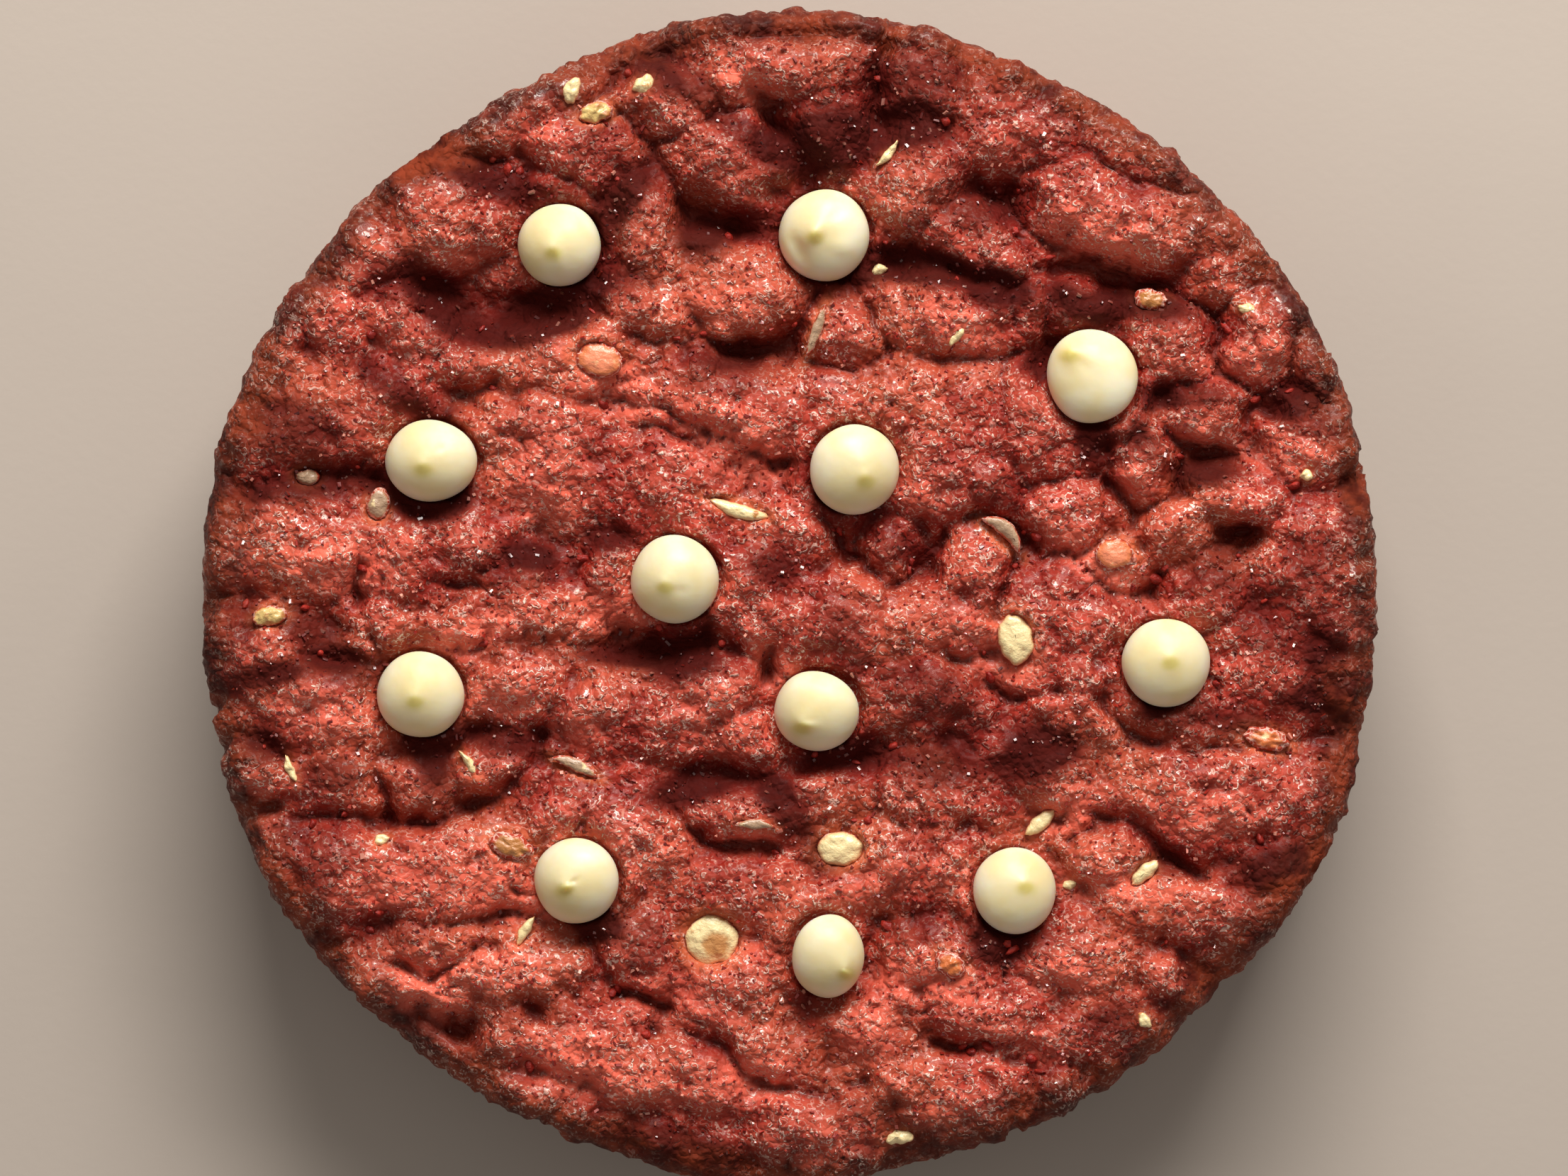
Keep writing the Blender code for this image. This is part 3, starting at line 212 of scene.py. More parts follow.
# Patches of painted shade and painted light on the dough: place, half length, half width, turn
# and tone, from -1 for the darkest painted shade to 1 for the brightest painted light
PAINTED_SHADE_AND_LIGHT = (
    (0, 58, 60, 20, 0, -0.25), (5, 58, 9, 5, 10, -0.9), (-8, 62, 10, 2.6, -40, -0.5),
    (16, 60, 5, 3, 0, -0.9), (16, 66, 8, 4, 0, -0.5), (-11, 46, 4, 3, 0, -0.8),
    (-3, 47.5, 5, 2, 0, -0.6), (-22, 50, 9, 3, 52, -0.75), (-32, 36.5, 8, 3.6, 22, -1.0),
    (-22, 41, 5, 3, 0, -0.6), (-38, 53.5, 10, 2.6, -18, -0.8), (-47, 57, 5, 3, 20, -1.0),
    (-44, 38, 8, 3, -48, -0.9), (-51, 27.5, 7, 2.4, -40, -0.8), (-45, 22, 3, 4, 0, -0.5),
    (-17, 67, 6, 2.4, -50, -0.6), (18, 42, 11, 2.6, -13, -0.9), (27, 39, 4, 3, 0, -0.9),
    (25, 50, 6, 3.5, 0, -0.5), (46, 37.5, 7, 2.6, -12, -1.0), (33, 30, 4, 2.6, 0, -1.0),
    (39, 21, 2.6, 6, 0, -0.9), (51, 26, 6, 2, 0, -0.8), (64, 26, 4, 3, 30, -0.9),
    (53, 16, 5, 2.2, 0, -1.0), (72, 13, 2, 4, 0, -1.0), (-64, 22, 8, 4.5, -10, -0.8),
    (-61, 14.5, 9, 2.6, 5, -0.9), (-45, 13, 4, 3.6, 0, -1.0), (-33, 6, 4, 2.2, -10, -0.9),
    (-23, 7.5, 4, 2, 0, -0.9), (7, 14.5, 3, 3, 0, -0.9), (-2, 4, 4, 3, 0, -0.8),
    (15, 6.5, 4, 2.4, 0, -0.6), (-13, -2, 3, 6, 15, -0.5), (-22, -7.2, 6, 1.8, 0, -0.9),
    (-60, -5, 6, 3, -35, -0.8), (-67, -10, 5, 2, 10, -0.9), (-36, -18, 7, 2.4, -12, -0.9),
    (-58, -22.5, 5, 2.6, 0, -0.7), (-45, -19, 2.4, 5, 0, -0.5), (-13, -24.5, 6, 2.6, 12, -1.0),
    (0, -27, 6, 2.6, -55, -0.9), (5, -33, 3, 2.4, 0, -0.6), (14, -12, 6, 5, 0, -0.6),
    (33, -18.5, 6, 3, -10, -1.0), (20, -21, 6, 4, 0, -0.8), (47, -12.5, 3, 2.4, 55, -0.9),
    (66, -13, 5, 2, 0, -0.9), (57, -16, 5, 2, 0, -0.8), (62, -3, 8, 5, -30, -0.6),
    (63, -34, 8, 3, 8, -1.0), (48, -34, 3, 3, 0, -0.6), (27, -42.5, 2.4, 4, 0, -1.0),
    (16, -42, 5, 2.2, 0, -0.5), (-24.5, -41, 4.5, 2.6, -40, -0.9), (53, -49, 4, 2.4, -40, -0.9),
    (42, -53.5, 5, 2.4, 10, -0.7), (30, -65, 3, 3, 0, -0.7), (8, -64.5, 7, 3, -35, -0.35),
    (-16, -69, 10, 2.6, -12, -0.9), (-43, -57, 6, 2.6, -10, -0.6), (-52, -43, 7, 2.6, 12, -0.5),
    (38.5, 46, 8, 4, -15, 1.0), (54, 51, 8, 3, -42, 0.9), (28, 56, 4, 5, -30, 0.5),
    (22, 34, 6, 3, -28, 0.9), (-21, 26.5, 6, 3, -45, 1.0), (-8, 22, 9, 3, -15, 0.7),
    (-3, 17, 4, 2, 0, 1.0), (-31, 16, 6, 7, 0, 0.6), (-30, 11, 3, 3, 0, 0.7),
    (14, 15, 6, 4, -30, 0.5), (-6, 65, 5, 2.6, -50, 0.8), (-34, 61, 6, 7, 0, 0.6),
    (-56, 43, 5, 3, 45, 0.6), (-41, 44, 5, 2, 20, 0.5), (-9, 37, 6, 4, 0, 0.4),
    (52, 21, 7, 2, -15, 0.9), (64, 18, 5, 3, -10, 0.6), (44, 15, 2.6, 3, 0, 0.8),
    (40, 4, 9, 2.6, -35, 1.0), (24, -5, 7, 4, 0, 0.5), (-57, 4, 7, 4, 0, 0.9),
    (-71, 4, 3, 4, 0, 1.0), (-22, -2, 6, 3.6, 15, 0.9), (-40, -5, 9, 2.4, 22, 1.0),
    (-37, -13, 5, 2.6, 0, 0.9), (-60, -15, 6, 4.5, 0, 0.9), (-27, -17, 4, 3, 0, 0.5),
    (-9, -15, 5, 6, 0, 0.6), (-1, -10, 2.6, 6, 35, 1.0), (-68, -26, 3, 5, 30, 0.9),
    (35, -27.5, 6, 2.8, 15, 0.9), (53, -27.5, 8, 3, 0, 0.7), (-35, -38.5, 7, 2.4, 0, 0.9),
    (-52, -37, 5, 3, 0, 0.6), (-20, -33, 9, 4, 0, 0.4), (-5, -31, 4, 2, 0, 1.0),
    (10, -37, 6, 2.6, 25, 0.5), (44, -37, 6, 2, 0, 0.6), (35, -48, 5, 3, 0, 0.9),
    (18, -49, 8, 3, -10, 0.9), (10, -54, 4, 5, 0, 0.7), (-15, -51, 8, 4, 0, 0.5),
    (-3, -61, 5, 3, 0, 1.0), (-27, -59, 8, 4.5, -22, 1.0), (-48, -53, 5, 2.6, -40, 1.0),
    (-38, -47, 8, 3, 0, 0.6), (22, -67, 5, 4, 0, 0.5), (30, -57, 6, 3, 0, 0.5),
    (51, -53, 4, 2, 45, 0.9), (-4, -44, 7, 3, 0, 0.4), (34, 37, 5, 3.5, -30, -0.5),
    (46, 22, 4, 5, -30, -0.7), (-13, -7.5, 6, 3.6, 0, -0.5), (-57, -9.5, 9, 3, 0, -0.7),
    (-67, -19, 4, 3, 0, -0.7), (54, 4, 4, 4, 0, -0.6), (69, -10, 4, 7, 0, -0.8),
    (71, -20, 3, 6, -10, -0.7), (-42, -36, 12, 5, 0, 0.4), (-52, -49, 5, 4, -40, 0.8),
    (60, 30, 10, 2.5, 5, 0.7), (-15, 60, 3, 4, 20, 0.4), (30, -36, 18, 2.4, -4, 0.6),
    (-12, -62, 9, 4, 0, 0.5), (9, -67, 4, 6, 0, 0.4), (26, 14, 4, 3, 0, -0.4),
    (-7, 31, 7, 2.4, 0, -0.5), (-9, -72, 6, 2.4, 0, -0.6), (-45, -23, 3, 6, 25, -0.6),
    (-28, 36.5, 4, 3, 0, -0.8), (-50, 39, 12, 3, -42, -0.6), (-49, 13.5, 5, 3, 0, -0.8),
    (-8, 28, 7, 3, 0, -0.5), (6, 14, 3, 3, 0, -0.8), (-34, 3.5, 7, 2.6, 0, -0.6),
    (-70, -3, 3, 4, 0, -0.7), (-14, -8.5, 7, 3, 0, -0.6), (-62, -17, 7, 3, 0, -0.5),
    (9, -20, 6, 2.6, 0, -0.9), (30, -21.5, 5, 3, 0, -0.9), (22, -13, 3, 5, 30, -0.6),
    (-60, -33, 6, 6, 0, -0.5), (66, 23.5, 4, 4, 0, -0.6), (66, 5, 4, 4, 0, -0.6),
    (26, -43, 4, 4, 0, -0.9), (11, -65.5, 5, 3, 0, -0.5), (-32, -53.5, 5, 3, 0, -0.5),
    (62, -39, 4, 6, -40, -0.5), (41, 33, 3, 5, 0, -0.6), (-4, -24, 5, 2.5, 0, -0.5),
    (0, 73, 8, 2, 0, -0.5), (40, 43, 5, 4, 0, 0.9), (-23, 27, 5, 4, 0, 0.6),
    (-8, 17.5, 8, 3, -20, 0.5), (-30, 10.5, 4, 3, 0, 0.5), (73, -5, 2, 5, 0, 1.0),
    (-34, -38, 7, 4, 0, 0.6), (-27, -33, 4, 6, 0, 0.5), (-47, -52, 8, 5, -40, 0.9),
    (38, 38.5, 5, 3.5, -30, -0.7), (-33, 34, 6, 2.6, 20, -0.6), (-48, 56, 4, 3, 45, -0.8),
    (12, 42, 8, 2.4, 0, -0.5), (5, 14, 3, 4, 0, -0.5), (7, -5, 3.4, 6, 0, -0.5),
    (-46, 15, 8, 4, 0, -0.4), (-70, 12, 4, 3, 0, -0.6), (28, -8, 5, 4, 0, 0.9),
    (-14, -3.5, 3, 2.6, 0, 0.8), (9, 50, 6, 5, 0, 0.4), (-36, 42, 9, 3, 0, 0.4),
    (-50, 33, 4, 5, 0, 0.4), (-18, -44, 3, 4, 0, -0.5), (42, 23, 2.4, 4, 0, 0.6),
    (-3, 64.5, 5, 3, -50, 0.8), (3, -73, 5, 2, 0, 0.7), (10, -13, 7, 2.6, 0, 0.4),
)
TONE_EDGE = (0.45, 1.4)
# Painted shadow by each chip, on its near side: shift from the chip's near edge, then the same
CHIP_PAINTED_SHADOW = (1.2, -0.6, 5.2, 2.2, 12, -0.6)

# The whole chips on top: place, size across X and Y, and the tip's place
CHIPS = {
    "chip_north_west": ((-28.9, 45.1), (10.8, 10.6), (-30.0, 44.5)),
    "chip_north": ((5.0, 46.2), (11.9, 11.9), (3.2, 46.5)),
    "chip_north_east": ((39.5, 27.5), (11.7, 12.1), (35.5, 31.5)),
    "chip_west_upper": ((-45.2, 17.6), (12.0, 10.6), (-46.5, 17.0)),
    "chip_middle_upper": ((8.1, 16.6), (11.6, 11.7), (9.7, 15.5)),
    "chip_middle": ((-14.0, 2.5), (11.5, 11.4), (-15.8, 2.0)),
    "chip_west_lower": ((-46.6, -12.2), (11.4, 11.1), (-47.5, -12.5)),
    "chip_middle_lower": ((4.3, -14.0), (11.2, 10.4), (1.5, -15.8)),
    "chip_east": ((48.0, -8.5), (11.4, 11.4), (48.3, -7.5)),
    "chip_south_west": ((-26.4, -35.9), (11.1, 11.0), (-28.6, -36.3)),
    "chip_south_east": ((28.5, -37.7), (10.8, 11.3), (30.0, -36.0)),
    "chip_south": ((4.4, -45.2), (9.4, 10.9), (7.3, -47.0)),
}
CHIP_HEIGHT = 6.8
CHIP_SINK = 1.2
CHIP_TILT_PER_MM = 7.0
CHIP_TILT_MOST = 24.0
SEAT_FLAT = 5.6         # the dough is pressed flat this far out from a chip's middle
SEAT_END = 8.6
SEAT_RING = 6.8         # the seat lies at the mean height of a ring of this radius
SEAT_SAMPLES = 16
SEAT_TILT = 0.8         # share of the chip's tilt that the dough under it takes
SOCKET_EDGE = (0.93, 1.08)      # of the socket under a chip, as shares of the chip's outline
SOCKET_DEPTH = 1.7
SMOOTH_EDGE = (0.8, 1.0)        # over which the fine relief comes in round a chip
CHIP_WAVE = (0.9, 0.035)        # size and height of a chip's unevenness, as shares
TIP_START = (0.5, 1.0)          # heights between which a chip turns into its tip

# A chip's outline from its foot to its tip: radius and height as shares
CHIP_OUTLINE = (
    (0.0, 0.0), (0.45, 0.0), (0.8, 0.01), (0.92, 0.07), (0.985, 0.16), (1.0, 0.27), (0.975, 0.39),
    (0.915, 0.51), (0.82, 0.62), (0.7, 0.71), (0.56, 0.785), (0.43, 0.84), (0.31, 0.88),
    (0.22, 0.91), (0.15, 0.93), (0.09, 0.948), (0.045, 0.957), (0.0, 0.96),
)

# Nubs, folds and nicks on the chips: place, half length, half width, turn and rise
CHIP_DENTS = (
    (3.4, 46.6, 2.0, 1.1, 60, 0.6), (1.4, 44.2, 0.8, 2.4, 25, -0.7),
    (7.2, 44.6, 1.6, 1.1, 0, 0.35), (6.4, 49.2, 1.4, 1.0, 20, -0.3),
    (35.8, 31.4, 2.4, 1.4, -40, 0.45), (37.2, 29.9, 2.4, 0.8, -40, -0.2),
    (-28.9, 42.5, 0.7, 1.8, 0, 0.35), (-44.0, 19.0, 0.6, 0.3, 20, -0.3),
    (9.0, 17.6, 1.2, 0.7, 0, 0.2), (-28.0, -36.6, 0.9, 0.5, 30, 0.45),
    (-27.2, -35.9, 0.6, 0.3, 30, -0.4), (7.4, -47.6, 0.7, 0.4, -30, 0.4),
    (2.6, -16.2, 1.2, 0.6, 0, 0.3), (30.4, -34.0, 1.0, 0.6, 0, 0.2),
    (-13.6, 1.0, 1.2, 0.5, 10, -0.2),
)
DENT_EDGE = (1.5, 0.0)
TIP_SHADE = (0.2, -0.8, 1.4, 1.7)   # shift from a tip, squash and reach of the painted shade on its near side

# Baked-in pieces of chip: place, length, width, turn, bow, slot and look
BAKED_PIECES = {
    "baked_chip_large": ((-9.7, -43.6), 6.8, 6.4, 0, 0, "cream", "browned"),
    "baked_chip_cone": ((6.7, -32.0), 6.0, 4.4, 0, 0, "cream", "cream"),
    "baked_chip_amber": ((20.6, -46.6), 4.4, 3.2, -35, 0, "caramel", "orange"),
    "baked_chip_oval": ((29.0, -5.3), 6.5, 4.6, 100, 0, "cream", "cream"),
    "baked_chip_crescent": ((27.0, 7.9), 6.7, 2.0, -42, 1.2, "cream", "grey"),
    "baked_chip_blush": ((41.5, 5.6), 5.0, 4.0, 0, 0, "caramel", "salmon"),
    "baked_chip_blade": ((-6.2, 11.5), 8.1, 1.9, -17, -0.5, "cream", "cream"),
    "baked_chip_dome": ((-24.0, 30.3), 6.0, 4.4, -15, 0, "caramel", "salmon"),
    "baked_chip_pale_oval": ((-52.2, 12.0), 4.2, 3.0, 80, 0, "cream", "grey"),
    "baked_chip_pale_dot": ((-61.3, 15.4), 3.2, 2.2, 0, 0, "cream", "grey"),
    "baked_chip_yellow": ((-66.0, -2.3), 4.5, 2.6, 10, 0, "caramel", "yellow"),
    "baked_chip_grey_sliver": ((-27.2, -21.6), 6.3, 1.7, -24, 0.4, "cream", "grey"),
    "baked_chip_south_sliver": ((-4.2, -29.0), 5.2, 1.5, -3, 0.2, "cream", "grey"),
    "baked_chip_wedge": ((32.2, -28.7), 4.9, 2.0, 41, 0, "cream", "cream"),
    "baked_chip_tan": ((-35.2, -31.6), 6.0, 3.4, -20, 0, "caramel", "tan"),
    "baked_chip_west_sliver": ((-33.4, -42.5), 4.4, 1.4, 60, 0.2, "cream", "cream"),
    "baked_chip_edge": ((3.6, 34.0), 7.0, 1.5, 70, 0, "cream", "grey"),
    "baked_chip_cavity": ((46.2, 38.0), 4.2, 2.8, -10, 0, "cream", "tan"),
    "baked_chip_east": ((61.0, -18.0), 6.0, 3.0, -15, 0, "caramel", "orange"),
    "baked_chip_pair": ((45.4, -35.0), 4.6, 2.0, 42, 0, "cream", "cream"),
    "baked_chip_crumbly": ((-24.5, 61.8), 4.6, 2.8, 15, 0, "caramel", "yellow"),
}
PIECE_THICKNESS = 2.6
THICKEST_SHARE = 1.2    # of its width, so that a sliver is thin
PIECE_PROUD = 0.38      # share of the thickness that stands over the dough
PIECE_RIM = (0.85, 1.2)     # over which the dough rises from a piece's bed to its own level
PIECE_BED = 0.5
POINTED = 0.35          # how much narrower a piece's ends are, for each millimetre it is narrower
POINTED_UNDER = 2.6     # than this
FLATNESS = 0.7          # power that squares a piece's rounded top
OUTLINE_WAVE = (0.5, 0.12, 0.1)     # size, height as a share and what a crumbly piece adds
SIDE_WAVE = (0.9, 0.2)
TOP_WAVE = (1.1, 0.22)
CRUMBLY_WAVE = (0.6, 0.5)
SIDES_APART = 9.0       # in the noise, so that a piece's two sides have waves of their own
CORE_PLACE = (0.15, -0.2)       # of its browned middle, as shares

# Slivers and crumbs of chip: place, length, width and turn
SLIVERS = (
    (-40.6, -21.4, 4.7, 1.2, -54), (-63.2, -21.7, 3.8, 1.2, -67), (-51.7, -31.0, 2.2, 1.6, 30),
    (45.5, -53.7, 2.4, 1.6, -50), (14.2, -69.0, 3.8, 2.0, 8), (-18.5, 65.5, 3.0, 2.4, 40),
    (-27.4, 64.6, 3.6, 2.2, 70), (12.6, 56.6, 4.3, 1.2, 50), (21.6, 33.4, 3.4, 1.6, 50),
    (58.4, 37.0, 2.4, 1.6, 0), (66.0, 15.4, 1.8, 1.6, 0), (35.9, -36.4, 2.0, 1.4, 20),
    (11.6, 41.6, 2.4, 1.6, 30),
)
SLIVER_BOW = 0.25
SLIVER_ROUGH = 0.3
CRUMBLY_ROUGH = 0.7

# Grains and crumbs: the lowest height and the farthest place that they lie at, how deep a
# hollow holds a crumb, and how far they keep from a chip and a baked-in piece, as shares
LOWEST_GRAIN = 23.0
MOST_CRUST = 0.7
LOWEST_CRUMB = 24.0
FARTHEST_CRUMB = 70.0
LEAST_HOLLOW = 0.3
CRUMB_RADIUS = 0.5
CLEAR_OF_CHIP = 1.04
CLEAR_OF_PIECE = 0.95
GRAIN_SEED = 7
CRUMB_SEED = 11
GRAIN_RISE = 0.2        # of its middle over the dough, as a share of its size
CRUMB_RISE = 0.1

# The soft lamp and the room, in metres
LAMP_PLACE = (0.1, 0.73, 0.53)
LAMP_AIM = (0.0, 0.0, 0.02)
LAMP_SIZE = (0.65, 0.34)
LAMP_COLOUR = (1.0, 0.97, 0.93)
ROOM_COLOUR = (1.0, 0.96, 0.91, 1.0)
FLOOR_RADIUS = 2500.0   # millimetres again
CAMERA_DISTANCE = 1000.0
SENSOR_WIDTH = 36.0

# The photograph that the camera matches
PHOTO_WIDTH = 2212
PHOTO_HEIGHT = 1659
PIE_MIDDLE_PX = (1111.7, 843.4)
PIE_RADIUS_PX = 828.3


# ---------------------------------------------------------------- heights of the dough

def noise_at(x, y, size, seed):
    """Smooth noise between about -1 and 1 whose features are size across."""
    values = [noise.noise(Vector((a / size, b / size, seed))) for a, b in zip(x, y)]
    return numpy.array(values)


def grains_at(x, y, spacing, seed):
    """Round grains of a spacing: 1 at the middle of each and near 0 between them."""
    nearest = [
        noise.voronoi(Vector((a / spacing, b / spacing, seed)))[0][0] for a, b in zip(x, y)
    ]
    return 1.0 - numpy.clip(numpy.array(nearest) / GRAIN_SIDE, 0.0, 1.0) ** 2


def smooth_step(low, high, value):
    share = numpy.clip((value - low) / (high - low), 0.0, 1.0)
    return share * share * (3.0 - 2.0 * share)


def oval_distance(x, y, oval):
    """Distance from an oval's middle, 1 at its outline."""
    middle_x, middle_y, half_length, half_width, turn = oval
    along = (x - middle_x) * cos(radians(turn)) + (y - middle_y) * sin(radians(turn))
    across = (y - middle_y) * cos(radians(turn)) - (x - middle_x) * sin(radians(turn))
    return numpy.hypot(along / half_length, across / half_width)


def line_distance(x, y, line):
    """Distance from a line of straight runs."""
    nearest = numpy.full_like(x, PIE_DIAMETER)
    for (start_x, start_y), (end_x, end_y) in zip(line, line[1:]):
        run_x = end_x - start_x
        run_y = end_y - start_y
        share = ((x - start_x) * run_x + (y - start_y) * run_y) / (run_x ** 2 + run_y ** 2)
        share = numpy.clip(share, 0.0, 1.0)
        away = numpy.hypot(x - start_x - share * run_x, y - start_y - share * run_y)
        nearest = numpy.minimum(nearest, away)
    return nearest


def bent(x, y, bends):
    """Places pushed about by noise, so that the shapes worked out there lose their regularity."""
    push_x = sum(rise * noise_at(x, y, size, seed) for size, rise, seed, _ in bends)
    push_y = sum(rise * noise_at(x, y, size, seed) for size, rise, _, seed in bends)
    return x + push_x, y + push_y


def lump_levels(x, y):
    """Height of each lump in turn over the whole top."""
    for fall, lumps in LUMP_REGIONS:
        for middle_x, middle_y, half_length, half_width, turn, height in lumps:
            oval = (middle_x, middle_y, half_length * LUMP_GROWTH, half_width * LUMP_GROWTH, turn)
            away = numpy.minimum(oval_distance(x, y, oval), LUMP_REACH)
            slope = fall * (min(half_length, half_width) / MEDIUM_LUMP) ** 0.5
            yield height - slope * away ** LUMP_CURVE


def lump_relief(x, y):
    """Height of the lumps alone, each running softly or sharply into the next."""
    softness = smooth_step(-0.5, 0.5, noise_at(x, y, BLEND_PATCH, BLEND_SEED))
    blend = SHARPEST_BLEND + (SOFTEST_BLEND - SHARPEST_BLEND) * softness
    total = sum(numpy.exp(level / blend) for level in lump_levels(x, y))
    return numpy.maximum(blend * numpy.log(total), CRAG_FLOOR)


def seam_relief(x, y):
    """Narrow seams along the lines where one lump meets the next."""
    first = numpy.full_like(x, -PIE_DIAMETER)
    second = first.copy()
    for level in lump_levels(*bent(x, y, BENDS)):
        second = numpy.maximum(second, numpy.minimum(first, level))
        first = numpy.maximum(first, level)
    seam = numpy.clip(1.0 - (first - second) / SEAM_MOUTH, 0.0, 1.0) ** 1.5
    near, far = SEAM_DEPTHS
    size, seed = SEAM_PATCH
    depth = near + (far - near) * smooth_step(*SEAM_REACH, 0.5 * x + y)
    return -depth * seam * smooth_step(-0.5, 0.2, noise_at(x, y, size, seed))


def crag_relief(x, y):
    """Height of the open dough over the crag floor, before the chips press it."""
    bent_x, bent_y = bent(x, y, BENDS)
    height = lump_relief(bent_x, bent_y)
    for line, half_width, depth in CREASES:
        away = line_distance(bent_x, bent_y, line) / (half_width * CREASE_FLARE)
        height -= depth * numpy.clip(1.0 - away, 0.0, 1.0) ** CREASE_CURVE
    for *oval, depth in HOLLOWS:
        away = oval_distance(bent_x, bent_y, oval) / HOLLOW_FLARE
        height -= depth * numpy.clip(1.0 - away ** 2, 0.0, 1.0) ** HOLLOW_CURVE
    swell_size, swell_rise, swell_seed = SWELL
    height += swell_rise * noise_at(x, y, swell_size, swell_seed)
    for size, rise, seed in FOLDS:
        height += rise * (numpy.abs(noise_at(bent_x, bent_y, size, seed)) - FOLD_MEAN)
    return height


def seat_of(place, tip):
    """A chip's seat: level under it, tilt in degrees and the way that it tilts."""
    ring = [2.0 * pi * step / SEAT_SAMPLES for step in range(SEAT_SAMPLES)]
    x = numpy.array([place[0] + SEAT_RING * cos(angle) for angle in ring])
    y = numpy.array([place[1] + SEAT_RING * sin(angle) for angle in ring])
    level = float(crag_relief(x, y).mean())
    reach = hypot(tip[0] - place[0], tip[1] - place[1])
    tilt = min(CHIP_TILT_MOST, CHIP_TILT_PER_MM * reach)
    return level, tilt, atan2(tip[1] - place[1], tip[0] - place[0])


CHIP_SEATS = {name: seat_of(place, tip) for name, (place, size, tip) in CHIPS.items()}


def fine_relief(x, y):
    """Folds, grains and hair cracks that are finer than the solids show."""
    bent_x, bent_y = bent(x, y, SMALL_BENDS)
    mean, change, patch_size, patch_seed = ROUGHNESS
    roughness = mean + change * noise_at(x, y, patch_size, patch_seed)
    height = numpy.zeros_like(x)
    for size, rise, seed in SMALL_FOLDS:
        height += rise * (numpy.abs(noise_at(bent_x, bent_y, size, seed)) - FOLD_MEAN)
    for spacing, rise, seed in GRAINS:
        height += rise * (grains_at(bent_x, bent_y, spacing, seed) - 0.5)
    height *= roughness
    spacing, width, depth, seed = CRACK_LINE
    line = 1.0 - numpy.clip(numpy.abs(noise_at(bent_x, bent_y, spacing, seed)) / width, 0.0, 1.0)
    cracked_size, cracked_seed = CRACK_PATCH
    height -= depth * line * smooth_step(0.0, 0.35, noise_at(x, y, cracked_size, cracked_seed))
    return height + seam_relief(x, y)


def seated_relief(x, y):
    """Height of the open dough with a flat, tilted seat under each chip, as the solids have it."""
    height = crag_relief(x, y)
    for name, (place, size, tip) in CHIPS.items():
        level, tilt, toward = CHIP_SEATS[name]
        along = (x - place[0]) * cos(toward) + (y - place[1]) * sin(toward)
        plane = level - along * tan(radians(tilt)) * SEAT_TILT
        away = numpy.hypot(x - place[0], y - place[1])
        height += (plane - height) * (1.0 - smooth_step(SEAT_FLAT, SEAT_END, away))
    return height


def seated_level(place):
    """The same at one place."""
    return float(seated_relief(*numpy.array(place, ndmin=2).T)[0])


def chip_distance(x, y, place, size):
    """Distance from a whole chip's middle, 1 at its outline."""
    return numpy.hypot((x - place[0]) / size[0], (y - place[1]) / size[1]) * 2.0


def piece_distance(x, y, place, length, width, turn):
    """Distance from a baked-in piece's middle, 1 at its outline."""
    return oval_distance(x, y, (*place, length / 2.0, width / 2.0, turn))


def dough_height(x, y):
    """Height of the finished top over the crag floor, pressed to take each chip and piece."""
    height = seated_relief(x, y)
    fine = fine_relief(x, y)
    for place, size, tip in CHIPS.values():
        share = chip_distance(x, y, place, size)
        fine *= smooth_step(*SMOOTH_EDGE, share)
        height -= SOCKET_DEPTH * (1.0 - smooth_step(*SOCKET_EDGE, share))
    for place, length, width, turn, *_ in BAKED_PIECES.values():
        rim = smooth_step(*PIECE_RIM, piece_distance(x, y, place, length, width, turn))
        fine *= rim
        above = numpy.maximum(height - seated_level(place), 0.0)
        height -= (PIECE_BED + above) * (1.0 - rim)
    return height + fine


# ---------------------------------------------------------------- outline and side

def turn_between(angle, middle):
    """Degrees from a named angle round to an angle in radians, the short way."""
    return numpy.abs((numpy.degrees(angle) - middle + 180.0) % 360.0 - 180.0)


def rim_noise(angle, turns, seed):
    return noise_at(numpy.cos(angle) * turns, numpy.sin(angle) * turns, 1.0, seed)


def outline_radius(angle):
    """Radius of the pie's uneven outline at each angle in radians."""
    radius = numpy.full_like(angle, PIE_DIAMETER / 2.0)
    for middle, rise in OUTLINE_BUMPS:
        share = numpy.minimum(1.0, turn_between(angle, middle) / BUMP_SPREAD)
        radius += rise * numpy.cos(pi / 2.0 * share)
    return radius + RIM_WAVE * rim_noise(angle, RIM_WAVE_TURNS, RIM_WAVE_SEED)


def lip_height(angle):
    """Rise of the crust's lip at each angle in radians."""
    rise = numpy.zeros_like(angle)
    for middle, spread, height in CRUST_LIPS:
        rise += height * numpy.maximum(0.0, 1.0 - (turn_between(angle, middle) / spread) ** 2)
    return rise * (LIP_LEAST + LIP_WAVE * rim_noise(angle, LIP_WAVE_TURNS, LIP_WAVE_SEED))


def hexagon_reach(angle):
    """Distance from the middle of a hexagon of radius 1 to its side at an angle."""
    wedge = 2.0 * pi / SIDES_OF_FAN
    return cos(wedge / 2.0) / numpy.cos(angle % wedge - wedge / 2.0)


# ---------------------------------------------------------------- the body's mesh

# Each row of the body's side, from the top's edge down and under to the middle of the base
ROLL_ROWS = 8
WALL_ROWS = 21
FOOT_ROWS = 4
BASE_RADII = (60.0, 35.0)
WALL_FOLDS = ((5.0, 0.9, 13.0), (2.3, 0.75, 17.0), (1.2, 0.4, 19.0))
WALL_PITS = (3.4, 0.22, 0.52, 1.3, 29.0)    # size, the noise at their lip and floor, depth, seed


